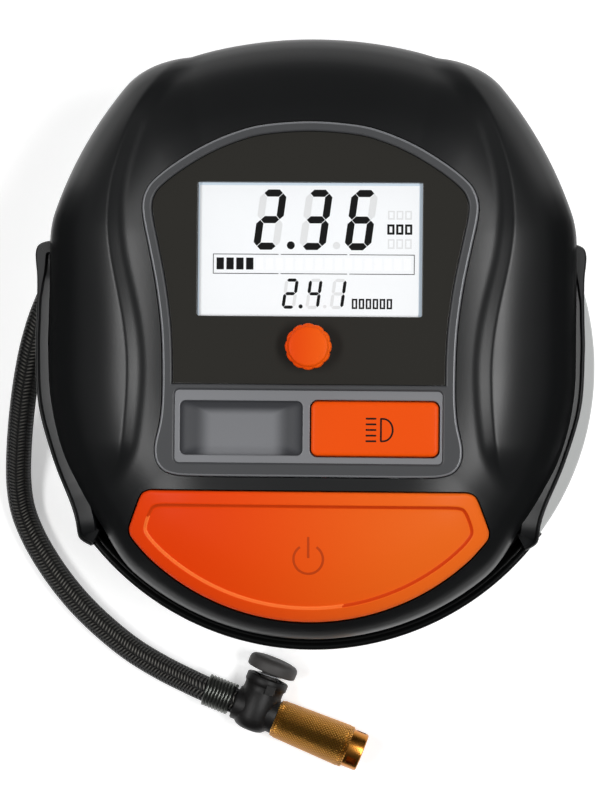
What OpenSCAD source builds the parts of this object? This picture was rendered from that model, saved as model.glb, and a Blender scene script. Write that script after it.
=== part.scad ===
/* [Body] */
// Radius of the round rear pan
pan_r = 100; // [94:1:112]
// How far the pan's centre lies below the middle of the body
pan_shift = 6.5; // [4:0.5:10]
// Height of the pan above its feet
pan_h = 13.5; // [12:0.5:18]
// Height of the open channel that the hose is wound in
channel_h = 24; // [20:1:32]
// Depth of the hose channel, from the pan's edge to the drum
channel_d = 16; // [14.5:0.5:19]
// Height of the front shell, from the channel to its crown
crown_h = 38.3; // [36.3:0.5:42.3]
// Wall of the moulded shells
wall = 2.6; // [2.2:0.1:3]
// Radius of the curve across the brow
brow_r = 150; // [135:0.5:180]
// Radius of the curve down the side of a cheek
cheek_r = 139.4; // [130:0.2:150]
// How far the top of a cheek lies below the top of the brow
cheek_drop = 6.2; // [5:0.1:7.5]
// Height that the cheeks stand proud of the middle panel
cheek_rise = 1.4; // [0.6:0.1:2]
// Step from the front shell's edge in to the pan's edge, under the brow
shell_step = 1; // [0.6:0.1:2]

/* [Wings] */
// Distance from the middle to the outside of a side wing
wing_out = 95.2; // [93:0.1:96]
// Thickness of a side wing
wing_t = 3.2; // [2.4:0.1:4]
// Height of a side wing above the hose channel
wing_h = 18; // [14:0.5:22]

/* [Bezel and display] */
// Width of the bezel at its widest
bezel_w = 114.6; // [112:0.2:118]
// Height of the bezel, along the body
bezel_l = 120.2; // [119:0.2:123]
// Height of the bezel's lower edge along the body
bezel_y = -44; // [-44.5:0.1:-43.5]
// Height that the bezel stands above the crown
bezel_rise = 0.7; // [0.4:0.1:1.9]
// Width of the bezel's rim round the window
bezel_rim = 3.4; // [2.8:0.1:4]
// Width of the display opening
lcd_w = 76.4; // [70:0.2:80]
// Height of the display opening
lcd_l = 45.6; // [40:0.2:48]
// Centre of the display along the body
lcd_y = 33; // [32:0.2:34]
// Thickness of the window
lens_t = 1.6; // [1.2:0.1:2]

/* [Controls] */
// Diameter of the setting knob
knob_d = 15.7; // [14:0.1:18]
// Height of the setting knob
knob_h = 7; // [5:0.5:10]
// Number of finger lobes round the knob
knob_lobes = 12; // [8:1:16]
// Width of the light button
light_w = 43; // [40:0.2:44]
// Height of the light button, along the body
light_l = 18.4; // [16:0.2:19]
// How far the light button presses in
light_travel = 1.2; // [0.8:0.1:1.3]
// How far the power button's lower edge lies inside the pan's edge
power_in = 12.5; // [12:0.1:14]
// Width of the power button at its top edge
power_top_w = 113.6; // [108:0.2:116]
// Height of the power button's top edge along the body
power_y = -49; // [-50:0.1:-48.5]
// How far the power button presses in
power_travel = 2; // [1:0.1:2.2]

/* [Pump] */
// Diameter of the motor's can
motor_d = 36; // [32:0.5:37]
// Length of the motor's can
motor_l = 52; // [46:1:53]
// Diameter of the motor's shaft
shaft_d = 3.17; // [3:0.01:4]
// Teeth of the pinion
pinion_teeth = 14; // [12:1:15]
// Teeth of the drive gear
gear_teeth = 42; // [38:1:42]
// Width of the drive gear
gear_w = 7; // [5:0.5:7]
// Throw of the crank pin
crank_throw = 7; // [6:0.5:7.5]
// Length of the connecting rod between its centres
rod_l = 38; // [37:0.5:40]
// Bore of the cylinder
bore_d = 24; // [20:0.5:25]

/* [Hose and chuck] */
// Diameter of the hose
hose_d = 9.2; // [8:0.1:9.4]
// Diameter of the knurled sleeve at its far end
sleeve_d = 15.5; // [15.3:0.1:18]
// Length of the knurled sleeve
sleeve_l = 28.2; // [27:0.2:28.4]
// How far the knurled sleeve slides forward
sleeve_travel = 4.5; // [3:0.1:4.6]
// Bore that takes the tyre valve
valve_bore = 8; // [7.8:0.1:8.2]
// Diameter of the bleed button
bleed_d = 18.2; // [16:0.1:18.2]
// How far the bleed button presses in
bleed_travel = 1.7; // [1:0.1:1.8]
// Bore of the grommet that the supply cable goes through
gland_bore = 6.2; // [5:0.1:7]

/* [Hidden] */

$fn = 64;
eps = 0.01;
// gaps: between fixed pieces, round moving buttons, and of running fits
gap = 0.3;
button_gap = 0.45;
fit = 0.05;

// heights of the housing
foot_h = 2.5;
foot_r = 8;
foot_sink = 1.2;
floor_z = foot_h + wall;
channel_z = foot_h + pan_h;
rim_z = channel_z + channel_h;
crown_z = rim_z + crown_h;
bezel_top = crown_z + bezel_rise;
seat_z = bezel_top - 5.5;
window_z = bezel_top - 1 - lens_t;
panel_z = bezel_top - 0.7;
board_t = 1.6;
board_z = bezel_top - 16.5;
board_top = board_z + board_t;
well_z = rim_z + 10;

// plan of the housing
brow_y = pan_r + pan_shift;
cheek_x = pan_r - 3.1 - cheek_r;
cheek_y = brow_y - 1.056 * pan_r;
cheek_blend = 12.8;
side_half = wing_out - wing_t - 1;
rim_r = pan_r - 1.5;
belly_r = rim_r - 4.5;
flank_r = side_half;
drum_r = pan_r - channel_d;
drum_in = drum_r - wall;

// distance from the pan's centre, in direction a, to a circle about c
function reach(a, c, r) =
    let (d = [cos(a), sin(a)], along = d * c) along + sqrt(along * along - c * c + r * r);
function ease(t) = let (u = min(1, max(0, t))) u * u * (3 - 2 * u);
function soft_min(a, b, k) =
    let (h = min(1, max(0, 0.5 + 0.5 * (b - a) / k))) b * (1 - h) + a * h - k * h * (1 - h);
// the upper outline: a cheek's side, which rounds over into its level top, and the brow between the cheeks
function cheek_side(a, r) =
    reach(a, [cos(a) >= 0 ? cheek_x : -cheek_x, cheek_y + pan_shift], r);
function cheek_top(a, inset) = (brow_y - cheek_drop + pan_shift - inset) / max(0.01, sin(a));
function brow(a, r) = reach(a, [0, brow_y + pan_shift - brow_r], r);
function upper(a, inset) = soft_min(cheek_side(a, cheek_r - inset),
    max(cheek_top(a, inset), brow(a, brow_r - inset)), cheek_blend);
function lower(a, inset) =
    flank_r - inset + (belly_r - flank_r) * ease((-sin(a) - 0.59) / 0.18);
function shell_reach(a, inset) =
    min((side_half - inset) / max(0.01, abs(cos(a))), sin(a) > 0 ? upper(a, inset) : lower(a, inset));
function pan_reach(a, inset) = max(pan_r - inset, sin(a) > 0 ? upper(a, inset + shell_step) : 0);
function shell_plan(inset) =
    [for (a = [0:5:355]) [0, -pan_shift] + shell_reach(a, inset) * [cos(a), sin(a)]];
function pan_plan(inset) =
    [for (a = [0:5:355]) [0, -pan_shift] + pan_reach(a, inset) * [cos(a), sin(a)]];

// the crown's profile: height above the channel's roof, and how far it has drawn in
crown_steps = [[0, 0], [8, 0], [14, 1], [20, 3], [25, 6], [29, 10.5], [32.5, 17], [35.5, 26], [37.5, 38]];
crown_k = crown_h / 37.5;
pan_steps = [[0, 10], [0.8, 7], [3, 3.2], [6.5, 0.8], [9.5, 0], [13.5, 0]];
pan_k = pan_h / 13.5;

// closed smooth curve through points, and the same curve moved outwards
function spline(a, b, c, d, t) =
    0.5 * (2 * b + (c - a) * t + (2 * a - 5 * b + 4 * c - d) * t * t + (3 * b - a - 3 * c + d) * t * t * t);
function closed_curve(p, n) =
    let (m = len(p))
    [for (i = [0:m - 1]) for (k = [0:n - 1])
        spline(p[(i + m - 1) % m], p[i], p[(i + 1) % m], p[(i + 2) % m], k / n)];
function open_curve(p, n) =
    let (m = len(p) - 1)
    [for (i = [0:m - 1]) for (k = [0:n - 1])
        spline(p[max(0, i - 1)], p[i], p[i + 1], p[min(m, i + 2)], k / n), p[m]];
function unit(v) = v / norm(v);
function grow(p, g) =
    let (m = len(p))
    [for (i = [0:m - 1]) let (t = unit(p[(i + 1) % m] - p[(i + m - 1) % m])) p[i] + g * [t[1], -t[0]]];
function sides(half) =
    let (m = len(half) - 1)
    concat(half, [for (i = [m:-1:0]) if (half[i][0] > 0.01) [-half[i][0], half[i][1]]]);

// right half of the bezel's outline from its lower edge up, as shares of half its width and of its length
bezel_half = [[0, 0], [0.6, 0], [0.8, 0.005], [0.885, 0.03], [0.908, 0.08], [0.875, 0.16], [0.864, 0.25],
    [0.872, 0.40], [0.905, 0.53], [0.95, 0.64], [0.985, 0.72], [0.993, 0.765], [0.975, 0.8], [0.93, 0.832],
    [0.815, 0.877], [0.64, 0.929], [0.46, 0.967], [0.28, 0.99], [0, 1]];
bezel_plan = closed_curve(sides([for (p = bezel_half) [p[0] * bezel_w / 2, bezel_y + p[1] * bezel_l]]), 3);
// the window follows the bezel's rim, down to a straight lower edge
window_y = bezel_y + 31.3;
window_plan = [for (p = grow(bezel_plan, -bezel_rim)) if (p[1] > window_y + 0.4) p];
window_half = max([for (p = window_plan) if (p[1] < window_y + 8) p[0]]);
window_shape = concat([[-window_half, window_y], [window_half, window_y]],
    [for (p = window_plan) if (p[0] > 0) p], [for (p = window_plan) if (p[0] <= 0) p]);

// power button outline
power_r = 0.8 * pan_r;
power_low = power_in - pan_shift - pan_r;
power_arc_y = power_low + power_r;
power_top = power_top_w / 2;
power_side = 0.616 * pan_r;
function power_plan(g) =
    sides([for (p = concat(
        [for (a = [-90:4:-46]) [(power_r + g) * cos(a), power_arc_y + (power_r + g) * sin(a)]],
        [[power_side - 2.2 + g * 0.8, power_low + 26.8 - g * 0.6], [power_side - 0.3 + g, power_low + 29.2],
        [power_side + g, power_low + 31.6], [power_top + 1 + g, power_y - 3.4],
        [power_top - 0.2 + g * 0.8, power_y - 1 + g * 0.5], [power_top - 2.6, power_y + g],
        [0, power_y + g]])) p]);

// display and controls
panel_half = bezel_w * 0.432 - 4.2;
light_x = panel_half - 1.3 - light_w / 2;
light_y = bezel_y + 16.4;
light_top = bezel_top + 0.4;
light_flange_z = seat_z - gap - 1.5;
scoop_w = 2 * panel_half - light_w - 6;
scoop_x = 1.7 - panel_half + scoop_w / 2;
scoop_z = panel_z - 3.4;
knob_z = window_z + lens_t + 1;
encoder_w = 12;
encoder_h = 6.5;
encoder_r = 3;
encoder_bush_r = 4.2;
plunger_travel = 0.5;
board_w = bezel_w - 14.6;
board_l = bezel_l - 22.2;
post_places = [[lcd_w / 2 + 6.8, lcd_y + 19], [-lcd_w / 2 - 6.8, lcd_y + 19], [bezel_w / 2 - 17.3, 1],
    [17.3 - bezel_w / 2, 1]];
panel_w = lcd_w + 4.6;
panel_l = lcd_l + 5;
light_post_z = board_top + 3.4 + light_travel + 0.5;
power_spots = [-0.34 * pan_r, 0.34 * pan_r];
power_spring_y = power_low + 24;
power_switch_y = power_low + 26;
power_under_z = crown_z - 8.3;
power_stem_z = well_z + wall + 11.4 + power_travel + 0.6;

// screws of the housing
screw_places = pan_r / 100 * [[66, 28], [-66, 28], [58, -50], [-58, -50]];
column_r = 5;
screw_r = 1.9;
foot_places = pan_r / 100 * [[62, 45], [-62, 45], [50, -68], [-50, -68]];

// the pump: axes run along the body, gears in one plane
axis_z = floor_z + 24.9;
motor_x = 34;
pinion_r = pinion_teeth / 2;
gear_r = gear_teeth / 2;
gear_x = motor_x - pinion_r - gear_r - 0.1;
frame_y = 2.2;
frame_t = 3;
motor_y = frame_y - 0.2;
gear_y = frame_y + frame_t + 1.4;
shaft_r = shaft_d / 2;
axle_r = 2.5;
clip_y = gear_y + gear_w + gap;
clip_t = 0.8;
pin_end = gear_y + gear_w + 3.4;
rod_y = pin_end + gap;
rod_t = 5;
cylinder_y = rod_y + rod_t / 2;
piston_x = gear_x - sqrt(rod_l * rod_l - crank_throw * crank_throw);
bore_r = bore_d / 2;
cylinder_wall = 2.6;
crown_off = 6;
head_x = gear_x - rod_l - crank_throw - crown_off - 0.8;
mouth_x = min(gear_x - gear_r - 2, piston_x + crank_throw + 7.4);
head_t = 8;
plate_t = 0.7;
outlet_x = head_x - plate_t - head_t / 2;

// the hose channel's fittings
hose_r = hose_d / 2;
wound_r = drum_r + hose_r + 1.1;
hose_z = channel_z + hose_r + 0.4;
fitting_a = 204;
fitting_l = 14;
wound_a = fitting_a + atan(fitting_l / wound_r);
leave_a = 490;
fitting_in = drum_in - 9.4;
gland_a = 300;
gland_z = channel_z + 17;
gland_r = gland_bore / 2 + 2.2;

// the chuck, turned about its tee
chuck_at = [-21.2, -130.1, bleed_d / 2 + 0.1];
chuck_turn = -21.5;
tee_r = 7.4;
inlet_x = -8;
sleeve_x = 7.8;
collet_r = 6.2;
nose_r = sleeve_d / 2 - 0.75;
nose_x = sleeve_x + sleeve_l;
nose_l = 5.6;
seal_x = nose_x + nose_l - 14.6;
seal_t = 1.6;
cap_y = 14.6;
collar_y = 12.6;

// route of the loose hose, from where it leaves the channel to the chuck
hose_route = [[-70, 50.5, hose_z], [-82, 39, hose_z + 0.1], [-91, 27.5, hose_z + 0.4],
    [-97, 15.5, hose_z + 0.8], [-101.3, 2.5, hose_z + 0.6], [-104.2, -11, 19.8], [-106.3, -24, 16.2],
    [-107.8, -36.5, 11.6], [-108.4, -48, 7.6], [-107.3, -58, 5.4], [-104, -67, 4.8], [-99, -76, 4.7],
    [-92.3, -85.5, 4.7], [-84.7, -94.2, 4.7], [-76, -102.2, 4.8], [-66.3, -109.6, 5.1],
    [-55.5, -115.8, 6.2], [-45.5, -120.4, 7.9]];

// ---- swept tubes ----
function turn_with(n, t) = unit(n - (n * t) * t);
function tangents(p) =
    let (m = len(p) - 1) [for (i = [0:m]) unit(p[min(m, i + 1)] - p[max(0, i - 1)])];
function normals(t, i = 0, n = [0, 0, 1], out = []) =
    i == len(t) ? out
    : let (v = turn_with(n, t[i])) normals(t, i + 1, v, concat(out, [v]));
function ring_points(p, r, s, up) =
    let (t = tangents(p), n = normals(t, 0, up))
    [for (i = [0:len(p) - 1]) for (k = [0:s - 1])
        p[i] + r * (cos(360 * k / s) * n[i] + sin(360 * k / s) * cross(t[i], n[i]))];
module swept(p, r, s = 8, up = [0, 0, 1]) {
    m = len(p);
    skin = [for (i = [0:m - 2]) for (k = [0:s - 1]) for (h = [0, 1])
        let (a = i * s + k, b = i * s + (k + 1) % s) h == 0 ? [a, a + s, b] : [b, a + s, b + s]];
    ends = [for (k = [1:s - 2]) for (h = [0, 1])
        h == 0 ? [0, k, k + 1] : [(m - 1) * s, (m - 1) * s + k + 1, (m - 1) * s + k]];
    polyhedron(ring_points(p, r, s, up), concat(skin, ends));
}
// coil spring along +Z from z = 0 to length, with straight ends one wire long
function coil_path(r, wire, length, turns) =
    let (step = (length - 2 * wire) / turns)
    concat([[r, 0, 0]],
        [for (i = [0:turns * 8]) [r * cos(i * 45), r * sin(i * 45), wire + step * i / 8]],
        [[r, 0, length]]);
module coil(r, wire, length, turns) swept(coil_path(r, wire, length, turns), wire / 2, 6, [1, 0, 0]);
// least gap between one curl and the next, measured on the path's points
function self_gap(p, wire, apart) =
    min([for (i = [0:len(p) - 1 - apart])
        min([for (j = [i + apart:len(p) - 1]) norm(p[i] - p[j])])]) - wire;

module rounded(w, l, h, r) {
    linear_extrude(h) polygon([for (c = [[1, 1, 0], [-1, 1, 90], [-1, -1, 180], [1, -1, 270]])
        for (a = [0:22.5:90])
            [c[0] * (w / 2 - r) + r * cos(c[2] + a), c[1] * (l / 2 - r) + r * sin(c[2] + a)]]);
}
module at_each(places, z) for (p = places) translate([p[0], p[1], z]) children();
module along_y(x, y, z) translate([x, y, z]) rotate([-90, 0, 0]) children();
module along_x(x, y, z) translate([x, y, z]) rotate([0, 90, 0]) children();
module tube(r, bore, h) difference() {
    cylinder(r = r, h = h);
    translate([0, 0, -1]) cylinder(r = bore, h = h + 2);
}
module from_pan(a, z) translate([0, -pan_shift, z]) rotate([0, 0, a]) children();

// ---- housing ----
// solid skinned over rings that are stacked upwards about the pan's centre
module loft(rings) {
    m = len(rings);
    n = len(rings[0]);
    points = concat([for (r = rings) each r],
        [[0, -pan_shift, rings[0][0][2]], [0, -pan_shift, rings[m - 1][0][2]]]);
    skin = [for (i = [0:m - 2]) for (k = [0:n - 1]) for (h = [0, 1])
        let (a = i * n + k, b = i * n + (k + 1) % n) h == 0 ? [a, a + n, b + n] : [a, b + n, b]];
    ends = [for (k = [0:n - 1]) for (h = [0, 1])
        h == 0 ? [m * n, k, (k + 1) % n] : [m * n + 1, (m - 1) * n + (k + 1) % n, (m - 1) * n + k]];
    polyhedron(points, concat(skin, ends));
}
function at_height(p, z) = [for (q = p) [q[0], q[1], z]];
module dome(inset, drop) loft([for (s = crown_steps)
    at_height(shell_plan(s[1] + inset), rim_z + s[0] * crown_k - drop)]);

module rear_pan() color("lightgray") difference() {
    union() {
        difference() {
            loft([for (s = pan_steps) at_height(pan_plan(s[1]), foot_h + s[0] * pan_k)]);
            translate([0, 0, floor_z]) linear_extrude(3) polygon(pan_plan(6.5));
            translate([0, 0, floor_z + 2.9]) linear_extrude(pan_h - 2 * wall - 2.9)
                polygon(pan_plan(wall + 0.9));
            translate([0, -pan_shift, floor_z]) cylinder(r = drum_in, h = pan_h, $fn = 128);
        }
        at_each(frame_feet, floor_z - eps) cylinder(r = 3.6, h = frame_base_z - floor_z + eps);
    }
    at_each(screw_places, 0) {
        cylinder(r = screw_r + gap, h = 20);
        cylinder(r = 4.3, h = foot_h + 1.2);
    }
    at_each(frame_feet, floor_z + 0.5) cylinder(r = 1.2, h = 20);
    at_each(foot_places, 0) cylinder(r = foot_r, h = foot_h + foot_sink);
    for (i = [-3:3]) translate([motor_x - 14 + i * 5.2, motor_y - motor_l - 18, 0])
        rounded(2.4, 30, floor_z + 1, 1.1);
}

module hose_drum() color("silver") difference() {
    union() {
        translate([0, -pan_shift, channel_z]) tube(drum_r, drum_in, channel_h, $fn = 128);
        at_each(screw_places, floor_z + 0.1) cylinder(r = column_r, h = rim_z - floor_z - 0.2);
        for (p = screw_places) let (a = atan2(p[1] + pan_shift, p[0]))
            from_pan(a, channel_z + 4) translate([norm([p[0], p[1] + pan_shift]) + 3, -1, 0])
                cube([drum_in + 1 - 3 - norm([p[0], p[1] + pan_shift]), 2, channel_h - 8]);
    }
    at_each(screw_places, 0) cylinder(r = screw_r + gap, h = rim_z + 1);
    from_pan(fitting_a, hose_z) along_x(drum_in - 2, 0, 0) cylinder(r = 3.3, h = wall + 4);
    from_pan(gland_a, gland_z) along_x(drum_in - 2, 0, 0) cylinder(r = gland_r, h = wall + 4);
}

module rubber_feet() color("dimgray") at_each(foot_places, 0) {
    cylinder(r1 = foot_r - 1.3, r2 = foot_r - 0.5, h = 0.8);
    translate([0, 0, 0.8]) cylinder(r = foot_r - 0.5, h = foot_h + foot_sink - 0.8);
}

module housing_screws() color("darkgray") at_each(screw_places, 1) difference() {
    union() {
        cylinder(r = 3.6, h = foot_h + 0.1);
        cylinder(r = screw_r, h = rim_z + 5);
    }
    translate([0, 0, -eps]) cylinder(r = 1.5, h = 1.6, $fn = 6);
}

// the wing on the right, from its top corner down to the rim
wing_line = [[wing_out - 6.6, 36.4], [wing_out - 2.8, 35.6], [wing_out - 0.7, 33.4], [wing_out, 29],
    [wing_out, 14], [wing_out, -1], [wing_out - 1.3, -20], [wing_out - 6.6, -38.5], [wing_out - 12.6, -53],
    [wing_out - 15, -61], [wing_out - 15.6, -66.3]];
function wing_edge(g) =
    let (p = open_curve(wing_line, 2), t = tangents(p))
    [for (i = [0:len(p) - 1]) p[i] + g * [t[i][1], -t[i][0]]];
function reversed(p) = [for (i = [len(p) - 1:-1:0]) p[i]];
module wing() {
    translate([0, 0, rim_z]) linear_extrude(wing_h)
        polygon(concat(wing_edge(0), reversed(wing_edge(wing_t))));
    translate([0, 0, rim_z]) linear_extrude(6)
        polygon(concat(wing_edge(0), reversed(wing_edge(wing_t + 4))));
}
module lip() translate([0, -pan_shift, rim_z]) rotate_extrude(angle = 108, start = 216, $fn = 128) {
    polygon([[drum_in + 2, 0], [rim_r, 0], [rim_r, 8.2], [rim_r - 0.8, 9], [rim_r - 1.6, 9],
        [rim_r - 2.4, 7.8], [drum_in + 2, 7.8]]);
}
// the middle panel's right edge, from between the cheeks' tops down to below the power button
shield_half = [[0, 120], [42, 112], [45.5, 99], [53.5, 89], [59.5, 77], [63.4, 63], [65.6, 49], [65.2, 36],
    [61.8, 20], [58.6, 4], [57.8, -12], [60, -30], [66, -46], [76, -58], [70, -120], [0, -120]];
shield_plan = closed_curve(pan_r / 100 * sides(reversed(shield_half)), 2);

module front_shell() color("#232526") difference() {
    union() {
        dome(0, 0);
        difference() {
            dome(0, -cheek_rise);
            translate([0, 0, rim_z + 11]) linear_extrude(crown_h) polygon(shield_plan);
        }
        wing();
        mirror([1, 0, 0]) wing();
        lip();
    }
    difference() {
        translate([0, -pan_shift, rim_z - 1]) cylinder(r = drum_in, h = wall + 1.1, $fn = 128);
        at_each(screw_places, rim_z - 2) cylinder(r = column_r, h = 60);
    }
    difference() {
        intersection() {
            dome(wall, wall - 0.4);
            translate([-200, -200, rim_z + wall]) cube([400, 400, 100]);
        }
        translate([0, 0, well_z]) linear_extrude(60) polygon(power_plan(3));
        translate([0, 0, seat_z - 3]) linear_extrude(60) polygon(grow(bezel_plan, 3));
        at_each(screw_places, rim_z - 1) cylinder(r = column_r, h = 60);
    }
    at_each(screw_places, rim_z - 1) cylinder(r = screw_r + fit, h = 9);
    translate([0, 0, well_z + wall]) linear_extrude(60) polygon(power_plan(button_gap));
    translate([0, 0, seat_z]) linear_extrude(60) polygon(grow(bezel_plan, 0.35));
    translate([0, 0, seat_z - 4]) linear_extrude(60) polygon(grow(bezel_plan, -4));
    lamp_arc(0.2, 6, 0);
    translate([0, power_switch_y, well_z - 1]) cylinder(r = 2.2, h = wall + 2);
}

module bezel() color("#595a5e") difference() {
    union() {
        translate([0, 0, seat_z]) linear_extrude(bezel_top - seat_z) polygon(bezel_plan);
        at_each(post_places, board_top) cylinder(r = 3.2, h = seat_z - board_top + eps);
    }
    at_each(post_places, board_top - 1) cylinder(r = 1.1, h = 8);
    translate([0, 0, window_z]) linear_extrude(20) polygon(grow(window_shape, 0.15));
    translate([0, lcd_y, seat_z - 1]) rounded(lcd_w, lcd_l, 20, 1);
    translate([0, lcd_y, seat_z - 1])
        rounded(panel_w + 0.6, panel_l + 0.6, window_z - 1.4 - seat_z + 1, 0.6);
    translate([0, 0, seat_z - 1]) cylinder(r = encoder_bush_r + 0.4, h = 20);
    translate([0, light_y + 0.5, panel_z]) rounded(2 * panel_half, light_l + 6.2, 20, 1.6);
    translate([scoop_x, light_y, scoop_z]) rounded(scoop_w, light_l, 20, 2);
    translate([light_x, light_y, seat_z - 1])
        rounded(light_w + 2 * button_gap, light_l + 2 * button_gap, 20, 2.6);
}

module window() color("#2d2a26") difference() {
    translate([0, 0, window_z]) linear_extrude(lens_t) polygon(window_shape);
    translate([0, 0, window_z - 1]) cylinder(r = encoder_bush_r + 0.4, h = lens_t + 2);
}

module display_panel() color("white") translate([0, lcd_y, window_z - 1.6 - 2.8])
    rounded(panel_w, panel_l, 2.8, 0.4);

module backlight() color("whitesmoke") translate([0, lcd_y, board_top])
    rounded(panel_w + 1.6, panel_l + 1.6, window_z - 1.6 - 2.8 - board_top, 1);

module display_board() color("darkgreen") difference() {
    translate([0, bezel_y + 5 + board_l / 2, board_z]) rounded(board_w, board_l, board_t, 3);
    at_each(post_places, board_z - 1) cylinder(r = 1.5, h = 5);
}

module board_screws() color("silver") at_each(post_places, board_z) {
    translate([0, 0, -1.6]) cylinder(r = 2.4, h = 1.6);
    translate([0, 0, -0.1]) cylinder(r = 1.1, h = 6);
}

module encoder_body() color("silver") translate([0, 0, board_top]) difference() {
    union() {
        translate([-encoder_w / 2, -encoder_w / 2, 0]) cube([encoder_w, encoder_w, encoder_h]);
        cylinder(r = encoder_bush_r, h = encoder_h + 4);
    }
    translate([0, 0, 0.6]) cylinder(r = encoder_r + 1.6, h = 3.1);
    translate([0, 0, 1]) cylinder(r = encoder_r + fit, h = 20);
}

module encoder_plunger() color("gray") translate([0, 0, board_top + 0.8 + plunger_travel])
    cylinder(r = encoder_r + 1.5, h = 1.2);

module encoder_shaft() color("gainsboro") translate([0, 0, board_top + 2.3 + plunger_travel])
    cylinder(r = encoder_r, h = knob_z + knob_h - 1.6 - board_top - 2.3 - plunger_travel);

module set_knob() color("orangered") translate([0, 0, knob_z]) difference() {
    union() {
        cylinder(r = knob_d / 2 - 0.75, h = knob_h - 0.8);
        translate([0, 0, knob_h - 0.8]) cylinder(r1 = knob_d / 2 - 0.75, r2 = knob_d / 2 - 1.6, h = 0.8);
        for (i = [0:knob_lobes - 1]) rotate([0, 0, i * 360 / knob_lobes])
            translate([knob_d / 2 - 1.7, 0, 0]) cylinder(r = 1.7, h = knob_h - 1);
    }
    translate([0, 0, -1]) cylinder(r = encoder_r, h = knob_h - 1.6 + 1);
    translate([0, 0, -1]) cylinder(r = encoder_bush_r + 0.6, h = 2.6);
}

module light_button() color("orangered") translate([light_x, light_y, 0]) {
    difference() {
        union() {
            translate([0, 0, light_flange_z])
                rounded(light_w, light_l, light_top - 0.6 - light_flange_z, 2.3);
            translate([0, 0, light_top - 0.6 - eps]) rounded(light_w - 0.8, light_l - 0.8, 0.6 + eps, 2);
            translate([0, 0, light_flange_z]) rounded(light_w + 3, light_l + 3, 1.5, 2.6);
        }
        translate([0, 0, light_flange_z - 1])
            rounded(light_w - 3, light_l - 3, light_top - 1.6 - light_flange_z + 1, 1.2);
    }
    translate([0, 0, light_post_z]) cylinder(r = 2.2, h = light_top - 1.6 - light_post_z + eps);
}

module light_switch() color("black") translate([light_x, light_y, board_top]) {
    translate([-3, -3, 0]) cube([6, 6, 2.2]);
    cylinder(r = 1.7, h = 3.4);
}

module light_button_spring() color("silver") translate([light_x, light_y, board_top + 0.1])
    coil(5.2, 0.6, light_top - 1.6 - board_top - 0.2, 5);

module power_button() color("#dd4a12") {
    difference() {
        intersection() {
            dome(0, -0.6);
            translate([0, 0, well_z + wall + 5]) linear_extrude(60) polygon(power_plan(0));
        }
        intersection() {
            dome(wall, wall - 0.6);
            translate([0, 0, well_z + wall + 4]) linear_extrude(60) polygon(power_plan(-2.4));
        }
    }
    translate([0, power_switch_y, power_stem_z]) cylinder(r = 3.4, h = crown_z - 3.8 - power_stem_z);
    for (x = power_spots) translate([x, power_spring_y, power_under_z]) cylinder(r = 2.6, h = 3.6);
}

module power_switch() color("black") translate([0, power_switch_y, well_z + wall]) {
    translate([-6, -6, 0]) cube([12, 12, 8]);
    cylinder(r = 2.6, h = 11.4);
}

module power_button_springs() color("silver") for (x = power_spots)
    translate([x, power_spring_y, well_z + wall + 0.1])
        coil(4.2, 0.7, power_under_z - well_z - wall - 0.2, 6);

module lamp_arc(g, deep, out) translate([0, brow_y - brow_r, rim_z + wall + 1 - g])
    rotate_extrude(angle = 15 + g * 0.9, start = 82.5 - g * 0.45, $fn = 128)
        translate([brow_r - deep + out, 0]) square([deep + (g > 0 ? 1 : 0), 5.6 + 2 * g]);

module work_light_lens() color("white") lamp_arc(0, 2.4, -0.2);

module work_light_board() color("darkgreen") {
    translate([-17, brow_y - 9.6, rim_z + wall]) cube([34, 1.2, 6.6]);
    for (x = [-11, 0, 11]) translate([x - 1.8, brow_y - 8.4, rim_z + wall + 2]) cube([3.6, 1.2, 3.6]);
}

module cord_gland() color("#202020") from_pan(gland_a, gland_z) difference() {
    union() {
        along_x(drum_in - 3.4, 0, 0) cylinder(r = gland_r - 0.1, h = wall + 6);
        along_x(drum_r + 0.1, 0, 0) cylinder(r = gland_r + 1.4, h = 2);
        along_x(drum_r + 2, 0, 0) cylinder(r1 = gland_r + 1, r2 = gland_r - 0.6, h = 8);
        along_x(drum_in - 2.2, 0, 0) cylinder(r = gland_r + 1.2, h = 2);
    }
    along_x(drum_in - 6, 0, 0) cylinder(r = gland_bore / 2, h = 30);
}

// ---- motor ----
motor_r = motor_d / 2;
module motor_can() color("lightslategray") difference() {
    union() {
        along_y(motor_x, motor_y - motor_l, axis_z) cylinder(r = motor_r, h = motor_l);
        along_y(motor_x, motor_y - 1, axis_z) cylinder(r = 5, h = 3.4);
    }
    along_y(motor_x, motor_y - motor_l - 1, axis_z) cylinder(r = motor_r - 1.2, h = motor_l - 0.4);
    along_y(motor_x, motor_y - 5, axis_z) cylinder(r = shaft_r + fit, h = 20);
    for (s = [-1, 1]) along_y(motor_x, motor_y - 5, axis_z + s * 12.5) cylinder(r = 1.2, h = 20);
}

module motor_end_cap() color("ivory") difference() {
    union() {
        along_y(motor_x, motor_y - motor_l - 2.4, axis_z) cylinder(r = motor_r - 0.3, h = 2.4);
        along_y(motor_x, motor_y - motor_l - 0.1, axis_z) cylinder(r = motor_r - 1.3, h = 2.6);
    }
    along_y(motor_x, motor_y - motor_l - 5, axis_z) cylinder(r = shaft_r + fit, h = 20);
}

module motor_magnets() color("dimgray") for (s = [0, 180]) along_y(motor_x, motor_y - motor_l + 8, axis_z)
    rotate_extrude(angle = 130, start = 25 + s) translate([motor_r - 3.2, 0]) square([1.95, motor_l - 16]);

module motor_shaft() color("silver") along_y(motor_x, motor_y - motor_l - 11, axis_z)
    cylinder(r = shaft_r, h = gear_y + gear_w + 1.5 - motor_y + motor_l + 11);

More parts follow.
